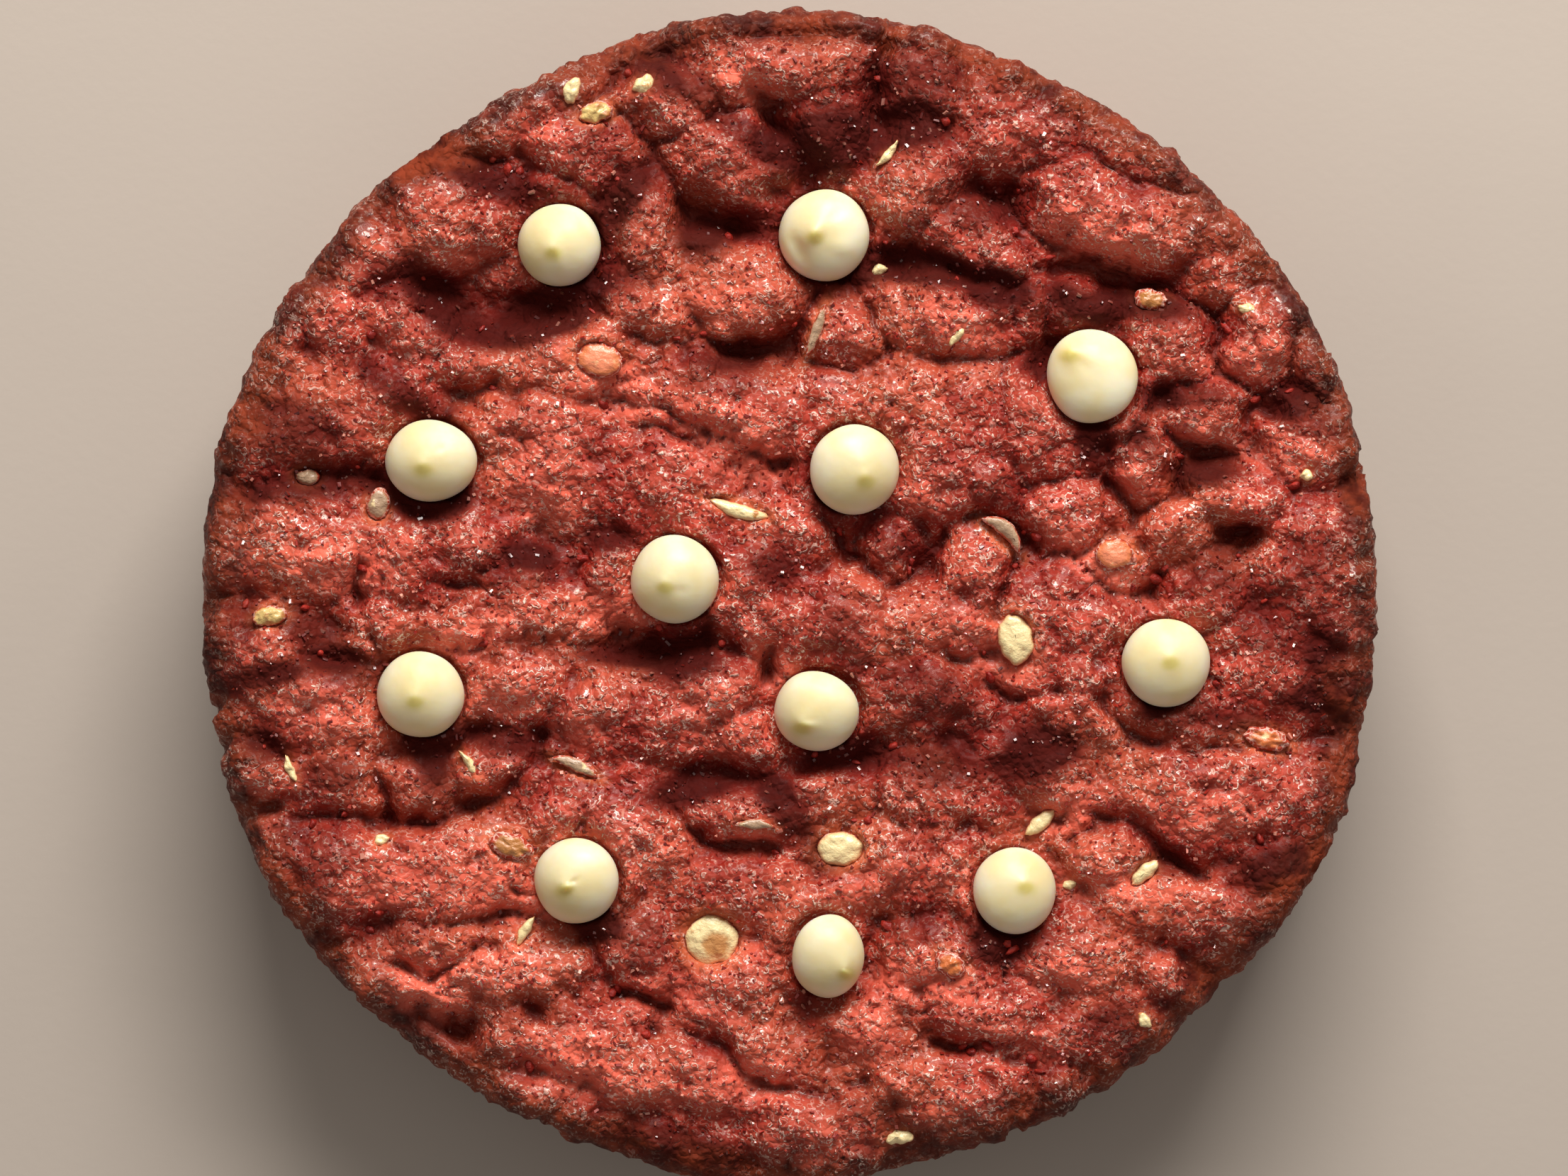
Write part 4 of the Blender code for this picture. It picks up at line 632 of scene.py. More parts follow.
def extrude_rim(mesh, rim):
    """Extrude a loop of edges and return the new loop's edges and vertices."""
    made = bmesh.ops.extrude_edge_only(mesh, edges=rim)["geom"]
    vertices = [item for item in made if isinstance(item, bmesh.types.BMVert)]
    edges = [item for item in made if isinstance(item, bmesh.types.BMEdge)]
    return [edge for edge in edges if len(edge.link_faces) == 1], vertices


def side_rows():
    """Inset, share of the edge's height, drop, lip, top's relief and wall's relief of each row."""
    foot_inset = (PIE_DIAMETER - FOOT_DIAMETER) / 2.0
    rows = []
    for step in range(1, ROLL_ROWS + 1):
        turn = pi / 2.0 * step / ROLL_ROWS
        inset = EDGE_ROLL * (1.0 - sin(turn))
        drop = EDGE_ROLL * (1.0 - cos(turn))
        rows.append((inset, 1.0, drop, sin(2.0 * turn), cos(turn), sin(turn)))
    for step in range(1, WALL_ROWS + 1):
        share = step / WALL_ROWS
        drop = EDGE_ROLL * (1.0 - share) - FOOT_ROUND * share
        rows.append((foot_inset * share, 1.0 - share, drop, 0.0, 0.0, 1.0))
    for step in range(1, FOOT_ROWS + 1):
        turn = pi / 2.0 * step / FOOT_ROWS
        inset = foot_inset + FOOT_ROUND * (1.0 - cos(turn))
        rows.append((inset, 0.0, FOOT_ROUND * (sin(turn) - 1.0), 0.0, 0.0, cos(turn)))
    for radius in BASE_RADII:
        rows.append((PIE_DIAMETER / 2.0 - radius, 0.0, 0.0, 0.0, 0.0, 0.0))
    rows.append((PIE_DIAMETER, 0.0, 0.0, 0.0, 0.0, 0.0))
    return numpy.array(rows)


def add_body(mesh, rings):
    """A disc of even triangles, its side and its base, on a circle of radius 1 and in rows."""
    row = mesh.verts.layers.int.new("row")
    bmesh.ops.create_circle(mesh, cap_ends=True, cap_tris=True, segments=SIDES_OF_FAN, radius=1.0)
    bmesh.ops.subdivide_edges(mesh, edges=mesh.edges[:], cuts=rings - 1, use_grid_fill=True)
    # the circle starts at +Y, so the fan's corners are turned to start at +X
    bmesh.ops.rotate(mesh, verts=mesh.verts[:], matrix=Matrix.Rotation(-pi / 2.0, 3, "Z"))
    rim = [edge for edge in mesh.edges if edge.is_boundary]
    rows = len(side_rows())
    for number in range(1, rows + 1):
        rim, vertices = extrude_rim(mesh, rim)
        for vertex in vertices:
            vertex[row] = number
    bmesh.ops.pointmerge(mesh, verts=vertices, merge_co=(0.0, 0.0, 0.0))


def wall_noise(points, size, seed):
    values = [noise.noise(Vector((a / size, b / size, c / size + seed))) for a, b, c in points]
    return numpy.array(values)


def wall_relief(points):
    """How far the baked wall stands in or out at each point."""
    relief = numpy.zeros(len(points))
    for size, rise, seed in WALL_FOLDS:
        relief += rise * (numpy.abs(wall_noise(points, size, seed)) - FOLD_MEAN)
    size, lip, floor, depth, seed = WALL_PITS
    return relief - depth * smooth_step(lip, floor, wall_noise(points, size, seed))


def read_vertices(data):
    points = numpy.empty(len(data.vertices) * 3)
    data.vertices.foreach_get("co", points)
    return points.reshape(-1, 3)


def shape_body(points, row):
    """Places of the body's vertices, from their places on the circle and their rows."""
    angle = numpy.arctan2(points[:, 1], points[:, 0])
    outline = outline_radius(angle)
    table = numpy.vstack((numpy.zeros((1, 6)), side_rows()))
    inset, share, drop, lip, top_relief, wall = table[row].T
    on_top = row == 0
    reach = numpy.where(on_top, outline - EDGE_ROLL, numpy.maximum(outline - inset, 0.0))
    part = numpy.hypot(points[:, 0], points[:, 1]) / hexagon_reach(angle)
    radius = reach * numpy.where(on_top, part, 1.0)
    x, y = radius * numpy.cos(angle), radius * numpy.sin(angle)
    # a row down the side takes its height from the edge that it hangs from
    edge_x = numpy.where(on_top, x, (outline - EDGE_ROLL) * numpy.cos(angle))
    edge_y = numpy.where(on_top, y, (outline - EDGE_ROLL) * numpy.sin(angle))
    height = numpy.where(on_top, 1.0, share) * (BODY_HEIGHT + dough_height(edge_x, edge_y))
    height += lip * lip_height(angle) - drop
    rolled = top_relief > 0.0
    change = fine_relief(x[rolled], y[rolled]) - fine_relief(edge_x[rolled], edge_y[rolled])
    height[rolled] += top_relief[rolled] * change
    placed = numpy.column_stack((x, y, height))
    out = wall * wall_relief(placed)
    placed[:, 0] += out * numpy.cos(angle)
    placed[:, 1] += out * numpy.sin(angle)
    return placed, outline - radius


# ---------------------------------------------------------------- what the colours follow

FIELD_STEP = 0.5
FIELD_HALF = 80.0
BROAD_HOLLOW = (3.6, 2.4)       # how far the dough is averaged, and the depth at which the painted shade is darkest
CLOSE_HOLLOW = (0.9, 0.55)
# Painted light on a convex top, per share of the depth of a hollow
TOP_PER_HOLLOW = 1.5
STAIN_EDGE = (0.8, 1.9)         # over which a stain fades, in half widths of its piece
SLIVER_STAIN = 0.7
CRUST_EDGE = (1.0, 7.0)         # distance from the outline over which the crust ends
CRUST_WAVE = (6.0, 2.5, 5.0)


def blurred(field, spread):
    """A square field of heights, softened over a spread in samples."""
    frequency = numpy.fft.fftfreq(len(field))
    kept = numpy.exp(-2.0 * (pi * spread * frequency) ** 2)
    return numpy.fft.ifft2(numpy.fft.fft2(field) * kept[:, None] * kept[None, :]).real


def sampled(field, x, y):
    """A field's value at each place, between its four nearest samples."""
    across = (x + FIELD_HALF) / FIELD_STEP
    along = (y + FIELD_HALF) / FIELD_STEP
    column, line = numpy.floor(across).astype(int), numpy.floor(along).astype(int)
    u, v = across - column, along - line
    near = field[line, column] * (1.0 - u) + field[line, column + 1] * u
    far = field[line + 1, column] * (1.0 - u) + field[line + 1, column + 1] * u
    return near * (1.0 - v) + far * v


def hollow_fields():
    """How deep each place lies below the dough around it, over a broad and a close distance."""
    steps = numpy.arange(-FIELD_HALF, FIELD_HALF + FIELD_STEP, FIELD_STEP)
    x, y = numpy.meshgrid(steps, steps)
    height = crag_relief(x.ravel(), y.ravel()) + fine_relief(x.ravel(), y.ravel())
    height = height.reshape(x.shape)
    return [
        (blurred(height, spread / FIELD_STEP) - height) / depth
        for spread, depth in (BROAD_HOLLOW, CLOSE_HOLLOW)
    ]


def stain_at(x, y):
    """How much melted chip has stained the dough at each place."""
    stain = numpy.zeros_like(x)
    for place, length, width, turn, *_ in BAKED_PIECES.values():
        away = piece_distance(x, y, place, length, width, turn)
        stain = numpy.maximum(stain, 1.0 - smooth_step(*STAIN_EDGE, away))
    for *place, length, width, turn in SLIVERS:
        away = piece_distance(x, y, place, length, width, turn)
        stain = numpy.maximum(stain, SLIVER_STAIN * (1.0 - smooth_step(*STAIN_EDGE, away)))
    return stain


def painted_shade_and_light_at(x, y):
    """Painted light and painted shade on the dough at each place, from 1 for the brightest to -1
    for the darkest.
    """
    tone = numpy.zeros_like(x)
    # Painted shadows on the dough by the near side of each chip
    shift_x, shift_y, *lee = CHIP_PAINTED_SHADOW
    painted_shadows = [
        (place[0] + shift_x, place[1] - size[1] / 2.0 + shift_y, *lee)
        for place, size, tip in CHIPS.values()
    ]
    for *oval, strength in (*PAINTED_SHADE_AND_LIGHT, *painted_shadows):
        tone += strength * (1.0 - smooth_step(*TONE_EDGE, oval_distance(x, y, oval)))
    return numpy.clip(tone, -1.0, 1.0)


def add_shares(data, name, values):
    """Give each vertex a number from 0 to 1 for the material to read."""
    layer = data.attributes.new(name, "FLOAT", "POINT")
    layer.data.foreach_set("value", numpy.clip(values, 0.0, 1.0).astype(numpy.float32))


# ---------------------------------------------------------------- shader maths

class Socket:
    """An output in a material; maths on it adds the nodes that work the result out."""

    def __init__(self, surface, output):
        self.surface = surface
        self.output = output

    def maths(self, operation, first, second):
        return self.surface.node("ShaderNodeMath", {"operation": operation}, {0: first, 1: second})

    def __add__(self, other):
        return self.maths("ADD", self, other)

    def __sub__(self, other):
        return self.maths("SUBTRACT", self, other)

    def __rsub__(self, other):
        return self.maths("SUBTRACT", other, self)

    def __mul__(self, other):
        return self.maths("MULTIPLY", self, other)

    def __abs__(self):
        return self.maths("ABSOLUTE", self, 0.0)

    __radd__ = __add__
    __rmul__ = __mul__


class Surface:
    """A material worked out from Object coordinates and from its piece's own shares."""

    def __init__(self, name, **constants):
        self.material = bpy.data.materials.new(name)
        self.material.use_nodes = True
        self.shader = self.material.node_tree.nodes["Principled BSDF"]
        for socket, value in constants.items():
            self.shader.inputs[socket.replace("_", " ")].default_value = value
        self.place = self.node("ShaderNodeTexCoord", {}, {}, "Object")

    def node(self, kind, settings, values, output=0):
        """Add a node with its settings and its sockets' values or links."""
        made = self.material.node_tree.nodes.new(kind)
        for name, setting in settings.items():
            setattr(made, name, setting)
        for name, value in values.items():
            if isinstance(value, Socket):
                self.material.node_tree.links.new(value.output, made.inputs[name])
            else:
                made.inputs[name].default_value = value
        return Socket(self, made.outputs[output])

    def noise(self, size, detail=2.0, roughness=0.5, output=0):
        """Noise from 0 to 1 whose features are size millimetres across."""
        values = {
            "Vector": self.place, "Scale": 1.0 / (size * MM), "Detail": detail,
            "Roughness": roughness,
        }
        return self.node("ShaderNodeTexNoise", {}, values, output)

    def bent_place(self, size, reach):
        """Object coordinates pushed about by up to reach millimetres, to bend what lies on them."""
        push = (2.0 * reach * MM,) * 3
        values = {0: self.noise(size, 1.0, 0.5, "Color"), 1: push, 2: self.place}
        return self.node("ShaderNodeVectorMath", {"operation": "MULTIPLY_ADD"}, values)

    def cells(self, place, size):
        """Cells size millimetres apart: how far the middle of one is, and a draw for each one."""
        values = {"Vector": place, "Scale": 1.0 / (size * MM)}
        away = self.node("ShaderNodeTexVoronoi", {}, values, "Distance")
        return away, Socket(self, away.output.node.outputs["Color"])

    def share(self, name):
        return self.node("ShaderNodeAttribute", {"attribute_name": name}, {}, "Fac")

    def step(self, value, low, high, least=0.0, most=1.0):
        """A smooth rise from least to most while a value goes from low to high."""
        values = {"Value": value, 1: low, 2: high, 3: least, 4: most}
        return self.node("ShaderNodeMapRange", {"interpolation_type": "SMOOTHSTEP"}, values)

    def line(self, value, middle, half_width):
        """1 where a value is at a middle level, and falling to 0 past half_width from it."""
        return self.step(abs(value - middle), half_width, 0.0)

    def mix(self, share, *colours):
        """A colour between two colours, each of them a setting or a result."""
        values = {0: share}
        for name, colour in zip((6, 7), colours):
            values[name] = colour if isinstance(colour, Socket) else (*colour, 1.0)
        return self.node("ShaderNodeMix", {"data_type": "RGBA", "clamp_factor": True}, values, 2)

    def bump(self, height, rise, strength=1.0):
        """Relief of a height from 0 to 1 that stands rise millimetres high."""
        return self.node(
            "ShaderNodeBump", {}, {"Height": height, "Distance": rise * MM, "Strength": strength}
        )

    def feed(self, **sockets):
        for name, value in sockets.items():
            target = self.shader.inputs[name.replace("_", " ")]
            self.material.node_tree.links.new(value.output, target)
        return self.material


def linear(red, green, blue):
    """A colour named by its 0 to 255 screen values, as Blender's linear values."""
    return tuple((value / 255.0) ** 2.2 for value in (red, green, blue))


# ---------------------------------------------------------------- sizes and colours to change

def colour_property(name, description, red, green, blue):
    return FloatVectorProperty(
        name=name, description=description, subtype="COLOR", default=linear(red, green, blue)
    )


class DoughSettings(bpy.types.PropertyGroup):
    rings: IntProperty(
        name="Rings", description="Rings of triangles from the middle of the top to its edge",
        default=150, min=40, max=155,
    )
    bright: colour_property("Bright", "Dough on the tops of the lumps", 166, 43, 30)
    deep: colour_property("Deep", "Darker patches of the dough", 127, 26, 17)
    orange: colour_property("Orange", "Patches where the dough has taken up butter", 174, 74, 49)
    # Colour of the painted shade in hollows, creases and pores
    hollow: colour_property("Hollow", "Moist dough in creases and hollows", 78, 20, 13)
    crust: colour_property("Crust", "Browned dough round the edge", 126, 52, 30)
    dark_crust: colour_property("Dark crust", "Darkest browned dough on the side", 66, 22, 12)
    # Colour of the painted shade on the shaded patches and by the chips
    moist: colour_property("Moist", "Darkest patches of undried dough", 62, 15, 9)
    # Colour of the painted light on the lit patches and the tops of the lumps
    pale: colour_property("Pale", "Driest and palest patches of the dough", 236, 104, 82)
    stain: colour_property("Stain", "Dough stained by a melted chip", 204, 104, 64)
    soaked: colour_property("Soaked", "Sugar that has soaked up the red", 232, 128, 102)
    # Sugar crystals, and the painted highlights on them
    crystal: colour_property("Crystal", "Sugar crystals in the dough", 255, 218, 198)


class GrainSettings(bpy.types.PropertyGroup):
    count: IntProperty(
        name="Grains", description="Sugar crystals on the dough", default=7000, min=0, max=16000,
    )
    radius: FloatProperty(
        name="Radius", description="Mean half size of a crystal", subtype="DISTANCE",
        default=0.2 * MM, precision=5,
    )
    crumbs: IntProperty(
        name="Crumbs", description="Loose crumbs of dough", default=90, min=0, max=1500,
    )
    colour: colour_property("Colour", "The clearest of the soaked sugar", 236, 158, 136)


class ChipSettings(bpy.types.PropertyGroup):
    whole: colour_property("Whole chip", "White chocolate of the whole chips", 231, 224, 197)
    shade: colour_property("Shade", "Yellower patches of the white chocolate", 222, 202, 134)
    # Colour of the painted shade on the near side of a chip's tip
    tip: colour_property("Tip", "Near side of a chip's tip", 204, 190, 104)
    cream: colour_property("Cream", "Baked-in white chocolate", 240, 216, 160)
    caramel: colour_property("Caramel", "Browned middle of a piece", 184, 118, 58)
    grey: colour_property("Grey", "Thin, half clear white chocolate", 172, 140, 112)
    salmon: colour_property("Salmon", "White chocolate under a film of dough", 240, 140, 102)
    yellow: colour_property("Yellow", "Crumbly, drier white chocolate", 214, 180, 112)
    tan: colour_property("Tan", "White chocolate baked brown", 184, 122, 70)
    orange: colour_property("Orange", "White chocolate baked amber", 212, 112, 58)


class StageSettings(bpy.types.PropertyGroup):
    floor: colour_property("Floor", "Plain pale floor", 184, 172, 161)
    lamp_power: FloatProperty(
        name="Lamp", description="Power of the soft lamp beyond the pie", subtype="POWER",
        default=13.4,
    )
    fill: FloatProperty(
        name="Fill", description="Brightness of the light from all round", default=0.31, min=0.0,
    )


# ---------------------------------------------------------------- surfaces

def dough_surface(settings):
    """Moist red dough full of sugar crystals with painted highlights, painted shade in its hollows,
    creases and shaded patches, painted light on its lit patches and tops, and browned round its
    edge.
    """
    surface = Surface("red_dough", Coat_Roughness=0.12, Specular_IOR_Level=0.15)
    broad = surface.noise(24.0, 2.0)
    patch = surface.noise(6.5, 3.0, 0.6)
    fleck = surface.noise(1.9, 2.0, 0.5)
    curl = surface.noise(1.2, 1.0, 0.6)
    small_curl = surface.noise(0.75, 1.0, 0.6)
    crumb_away, crumb_draw = surface.cells(surface.bent_place(1.1, 0.5), 1.1)
    # Pores whose middles take painted shade
    pits = surface.step(crumb_away, 0.26, 0.12) * surface.step(crumb_draw, 0.88, 0.92)
    breaks = surface.step(surface.noise(1.2, 1.0), 0.55, 0.6)
    curls = surface.line(curl, 0.5, 0.13) * breaks
    small_curls = surface.line(small_curl, 0.5, 0.1) * surface.step(curl, 0.43, 0.37)
    # Share out of the painted shade, where the highlights and the gloss stay
    out_of_painted_shade = (1.0 - surface.share("moist") * 0.95) * (1.0 - surface.share("hollow") * 0.6)
    # Sugar patches, more of them on the tops, which take painted light
    sweet = patch + fleck * 0.5 + surface.share("top") * 0.35
    sugary = surface.step(sweet, 0.6, 0.95, 0.2, 1.0) * out_of_painted_shade
    arcs = surface.line(crumb_away, 0.4, 0.12) * surface.step(small_curl, 0.55, 0.6)
    # Sugar crystals with painted highlights along curls and arcs
    shine = (curls + small_curls * 0.6 + arcs) * sugary
    gleam = surface.line(curl, 0.5, 0.35) * sugary
    tops = surface.step(patch + fleck * 0.35 + crumb_draw * 0.2, 0.6, 1.0)
    orange = surface.step(broad + patch * 0.4, 0.64, 0.88, 0.0, 0.8)
    # Painted shade along the creases
    creased = surface.step(surface.share("crease"), 0.1, 1.0, 0.0, 0.65)
    colour = surface.mix(tops, settings.deep, settings.bright)
    for share, tint in (
        (orange, settings.orange),
        # Painted light on the lit patches and the tops of the lumps
        (surface.share("stain") * 0.75, settings.stain),
        (surface.share("pale") * 0.8 + surface.share("top") * 0.25, settings.pale),
        (gleam * 0.16, settings.soaked),
        # Sugar crystals with painted highlights
        (shine, settings.crystal),
        # Painted shade on the shaded patches and by the chips
        (surface.share("moist") * 0.95, settings.moist),
        # Painted shade in pores, hollows and creases
        (pits * 0.3, settings.hollow),
        (surface.step(surface.share("hollow"), 0.0, 1.0, 0.0, 0.5), settings.hollow),
        (creased, settings.hollow),
    ):
        colour = surface.mix(share, colour, tint)
    browned = surface.step(patch + fleck * 0.3, 0.5, 0.8)
    crust = surface.mix(browned, settings.dark_crust, settings.crust)
    # Painted highlights on the crust
    crust = surface.mix(shine * 0.35, crust, settings.crystal)
    edge = surface.share("crust") * surface.step(fleck, 0.2, 0.6, 0.75, 1.0)
    colour = surface.mix(edge, colour, crust)
    relief = fleck + curl * 0.4 - crumb_away + shine * 0.25
    return surface.feed(
        Base_Color=colour,
        Roughness=surface.step(fleck, 0.3, 0.7, 0.65, 0.5) + surface.share("moist") * 0.3,
        Coat_Weight=(shine * 0.9 + 0.1) * out_of_painted_shade,
        Normal=surface.bump(relief, 0.42),
    )


def grain_surface(settings, dough):
    """Sugar crystals that have soaked up the dough's red, some of them nearly clear."""
    surface = Surface("soaked_sugar", Coat_Roughness=0.08, Coat_Weight=0.6, Specular_IOR_Level=0.6)
    tint, hollow = surface.share("tint"), surface.share("hollow")
    red = surface.mix(surface.step(tint, 0.0, 0.7), dough.deep, dough.bright)
    colour = surface.mix(surface.step(tint, 0.6, 1.0), red, settings.colour)
    # Painted shade on grains in the shaded patches
    colour = surface.mix(surface.share("moist") * 0.75, colour, dough.moist)
    # Painted shade on grains in hollows
    colour = surface.mix(surface.step(hollow, 0.0, 0.9, 0.0, 0.8), colour, dough.hollow)
    colour = surface.mix(surface.share("crust") * 0.8, colour, dough.crust)
    return surface.feed(Base_Color=colour, Roughness=surface.step(tint, 0.0, 1.0, 0.45, 0.25))


def crumb_surface(dough):
    surface = Surface("dough_crumb", Specular_IOR_Level=0.4)
    tint = surface.noise(1.2, 3.0)
    colour = surface.mix(surface.step(tint, 0.35, 0.65), dough.deep, dough.bright)
    colour = surface.mix(surface.share("crust") * 0.85, colour, dough.crust)
    return surface.feed(
        Base_Color=colour, Roughness=surface.step(tint, 0.3, 0.7, 0.45, 0.65),
        Normal=surface.bump(surface.noise(0.4, 3.0), 0.2),
    )


def chip_surface(settings):
    """Smooth white chocolate, a little yellower in patches and round the tip, with painted shade on
    the tip's near side.
    """
    surface = Surface(
        "white_chocolate", Subsurface_Weight=0.8, Subsurface_Radius=(1.0, 0.75, 0.35),
        Subsurface_Scale=3.0 * MM, Specular_IOR_Level=0.5,
    )
    cloud = surface.noise(5.0, 2.0)
    yellower = surface.step(cloud, 0.3, 0.75, 0.0, 0.6)
    colour = surface.mix(yellower, settings.whole, settings.shade)
    colour = surface.mix(surface.share("tip") * 0.5, colour, settings.shade)
    # Painted shade on the near side of the tip
    colour = surface.mix(surface.share("tip_shade") * 0.8, colour, settings.tip)
    relief = surface.noise(2.6, 2.0) * 0.7 + surface.noise(0.5, 2.0) * 0.06
    return surface.feed(
        Base_Color=colour, Roughness=surface.step(cloud, 0.3, 0.7, 0.4, 0.5),
        Normal=surface.bump(relief, 0.22, 0.6),
    )


# How each look of baked-in chocolate is patched: second colour, share of it, where its browned
# middle ends, and where its orange glow and the film of dough over it start, all three as shares
# of its outline
LOOKS = {
    "cream": ("caramel", 0.12, 0.0, 0.78, 0.95),
    "browned": ("caramel", 0.1, 0.68, 0.88, 0.97),
    "grey": ("cream", 0.2, 0.0, 0.68, 0.75),
    "salmon": ("cream", 0.2, 0.0, 0.5, 0.8),
    "yellow": ("tan", 0.45, 0.0, 0.7, 0.8),
    "tan": ("caramel", 0.5, 0.0, 0.6, 0.6),
    "orange": ("cream", 0.35, 0.0, 0.3, 0.55),
}
ROUGH_LOOKS = ("yellow", "tan", "orange")   # whose chocolate is crumbly


def baked_surface(look, settings, dough):
    """Baked-in chocolate that browns in its middle and takes up red towards its outline."""
    second, share, middle, glow_start, film_start = LOOKS[look]
    surface = Surface(
        look + "_baked_chocolate", Coat_Weight=0.35, Coat_Roughness=0.15, Subsurface_Weight=0.1,
        Subsurface_Radius=(1.0, 0.5, 0.3), Subsurface_Scale=1.0 * MM,
    )
    main = getattr(settings, "cream" if look == "browned" else look)
    cloud = surface.noise(1.9, 3.0, 0.6)
    fine = surface.noise(0.7, 3.0, 0.6)
    shore = surface.share("shore") + (fine - 0.5) * 0.3
    patches = surface.step(cloud, 0.66 - share * 0.4, 0.8 - share * 0.4)
    colour = surface.mix(patches, main, getattr(settings, second))
    if middle > 0.0:
        browned = surface.step(surface.share("core") + (fine - 0.5) * 0.3, middle, middle - 0.35)
        colour = surface.mix(browned * 0.9, colour, settings.caramel)
    glow = surface.step(shore, glow_start, glow_start + 0.3, 0.0, 0.7)
    colour = surface.mix(glow, colour, settings.orange)
    film = surface.step(shore, film_start, 0.55 + film_start * 0.5)
    colour = surface.mix(film * 0.9, colour, dough.bright)
    # Painted highlights on the film of dough
    curls = surface.line(surface.noise(0.85, 1.0, 0.6), 0.5, 0.08) * film
    colour = surface.mix(curls * 0.7, colour, dough.crystal)
    return surface.feed(
        Base_Color=colour, Roughness=surface.step(fine, 0.3, 0.7, 0.3, 0.5),
        Normal=surface.bump(cloud * 0.6 + fine * 0.6, 0.35),
    )


def floor_surface(settings):
    surface = Surface("pale_floor", Specular_IOR_Level=0.2)
    cloud = surface.noise(90.0, 3.0)
    darker = [value * 0.94 for value in settings.floor]
    colour = surface.mix(surface.step(cloud, 0.3, 0.7), darker, settings.floor)
    return surface.feed(
        Base_Color=colour, Roughness=surface.step(cloud, 0.3, 0.7, 0.8, 0.9),
        Normal=surface.bump(surface.noise(1.4, 3.0), 0.05, 0.4),
    )


# ---------------------------------------------------------------- pieces

def add_object(data, name, material):
    data.materials.append(material)
    data.shade_smooth()
    made = bpy.data.objects.new(name, data)
    bpy.context.scene.collection.objects.link(made)
    return made


def to_data(mesh, name):
    """Close a bmesh in millimetres as mesh data in metres with its faces outward."""
    bmesh.ops.recalc_face_normals(mesh, faces=mesh.faces[:])
    bmesh.ops.scale(mesh, verts=mesh.verts[:], vec=(MM, MM, MM))
    data = bpy.data.meshes.new(name)
    mesh.to_mesh(data)
    mesh.free()
    return data


def set_points(mesh, points):
    for vertex, point in zip(mesh.verts, points):
        vertex.co = point


def place_chip(points, name):
    """Lean, tilt and set down the points of a chip that stands at the origin."""
    place, size, tip = CHIPS[name]
    level, tilt, toward = CHIP_SEATS[name]
    reach = hypot(tip[0] - place[0], tip[1] - place[1])
    lean = reach - CHIP_HEIGHT * sin(radians(tilt))
    shift = lean * numpy.clip(points[:, 2] / CHIP_HEIGHT, 0.0, 1.0) ** 2
    points[:, 0] += shift * cos(toward)
    points[:, 1] += shift * sin(toward)
    turn = Matrix.Rotation(radians(tilt), 3, Vector((-sin(toward), cos(toward), 0.0)))
    points = points @ numpy.array(turn).T
    return points + numpy.array((place[0], place[1], BODY_HEIGHT + level - CHIP_SINK))


def add_drop(name, place, size, tip, seed):
    """Data of a whole chip: an uneven round drop with a tip, its dents and its shares."""
    mesh = bmesh.new()
    line = [mesh.verts.new((radius, 0.0, height)) for radius, height in CHIP_OUTLINE]
    for lower, upper in zip(line, line[1:]):
        mesh.edges.new((lower, upper))
    bmesh.ops.spin(
        mesh, geom=mesh.verts[:] + mesh.edges[:], axis=(0.0, 0.0, 1.0), cent=(0.0, 0.0, 0.0),
        angle=2.0 * pi, steps=32, use_merge=True,
    )
    bmesh.ops.remove_doubles(mesh, verts=mesh.verts[:], dist=0.0001)
    points = numpy.array([vertex.co for vertex in mesh.verts])
    tip_share = smooth_step(*TIP_START, points[:, 2])
    on_tip = tip_share > 0.0
    wave_size, wave = CHIP_WAVE
    uneven = 1.0 + wave * noise_at(points[:, 0], points[:, 1], wave_size, seed)
    points[:, 0] *= uneven * size[0] / 2.0
    points[:, 1] *= uneven * size[1] / 2.0
    points[:, 2] *= CHIP_HEIGHT
    points = place_chip(points, name)
    x, y, z = points.T
    for *oval, rise in CHIP_DENTS:
        points[:, 2] += rise * smooth_step(*DENT_EDGE, oval_distance(x, y, oval)) * on_tip
    set_points(mesh, points)
    data = to_data(mesh, name + "_drop")
    add_shares(data, "tip", tip_share)
    # Painted shade just off the tip, towards its near side
    shift_x, shift_y, squash, reach = TIP_SHADE
    away = numpy.hypot(x - tip[0] - shift_x, (y - tip[1] - shift_y) * squash) / reach
    add_shares(data, "tip_shade", smooth_step(1.0, 0.3, away) * on_tip)
    return data


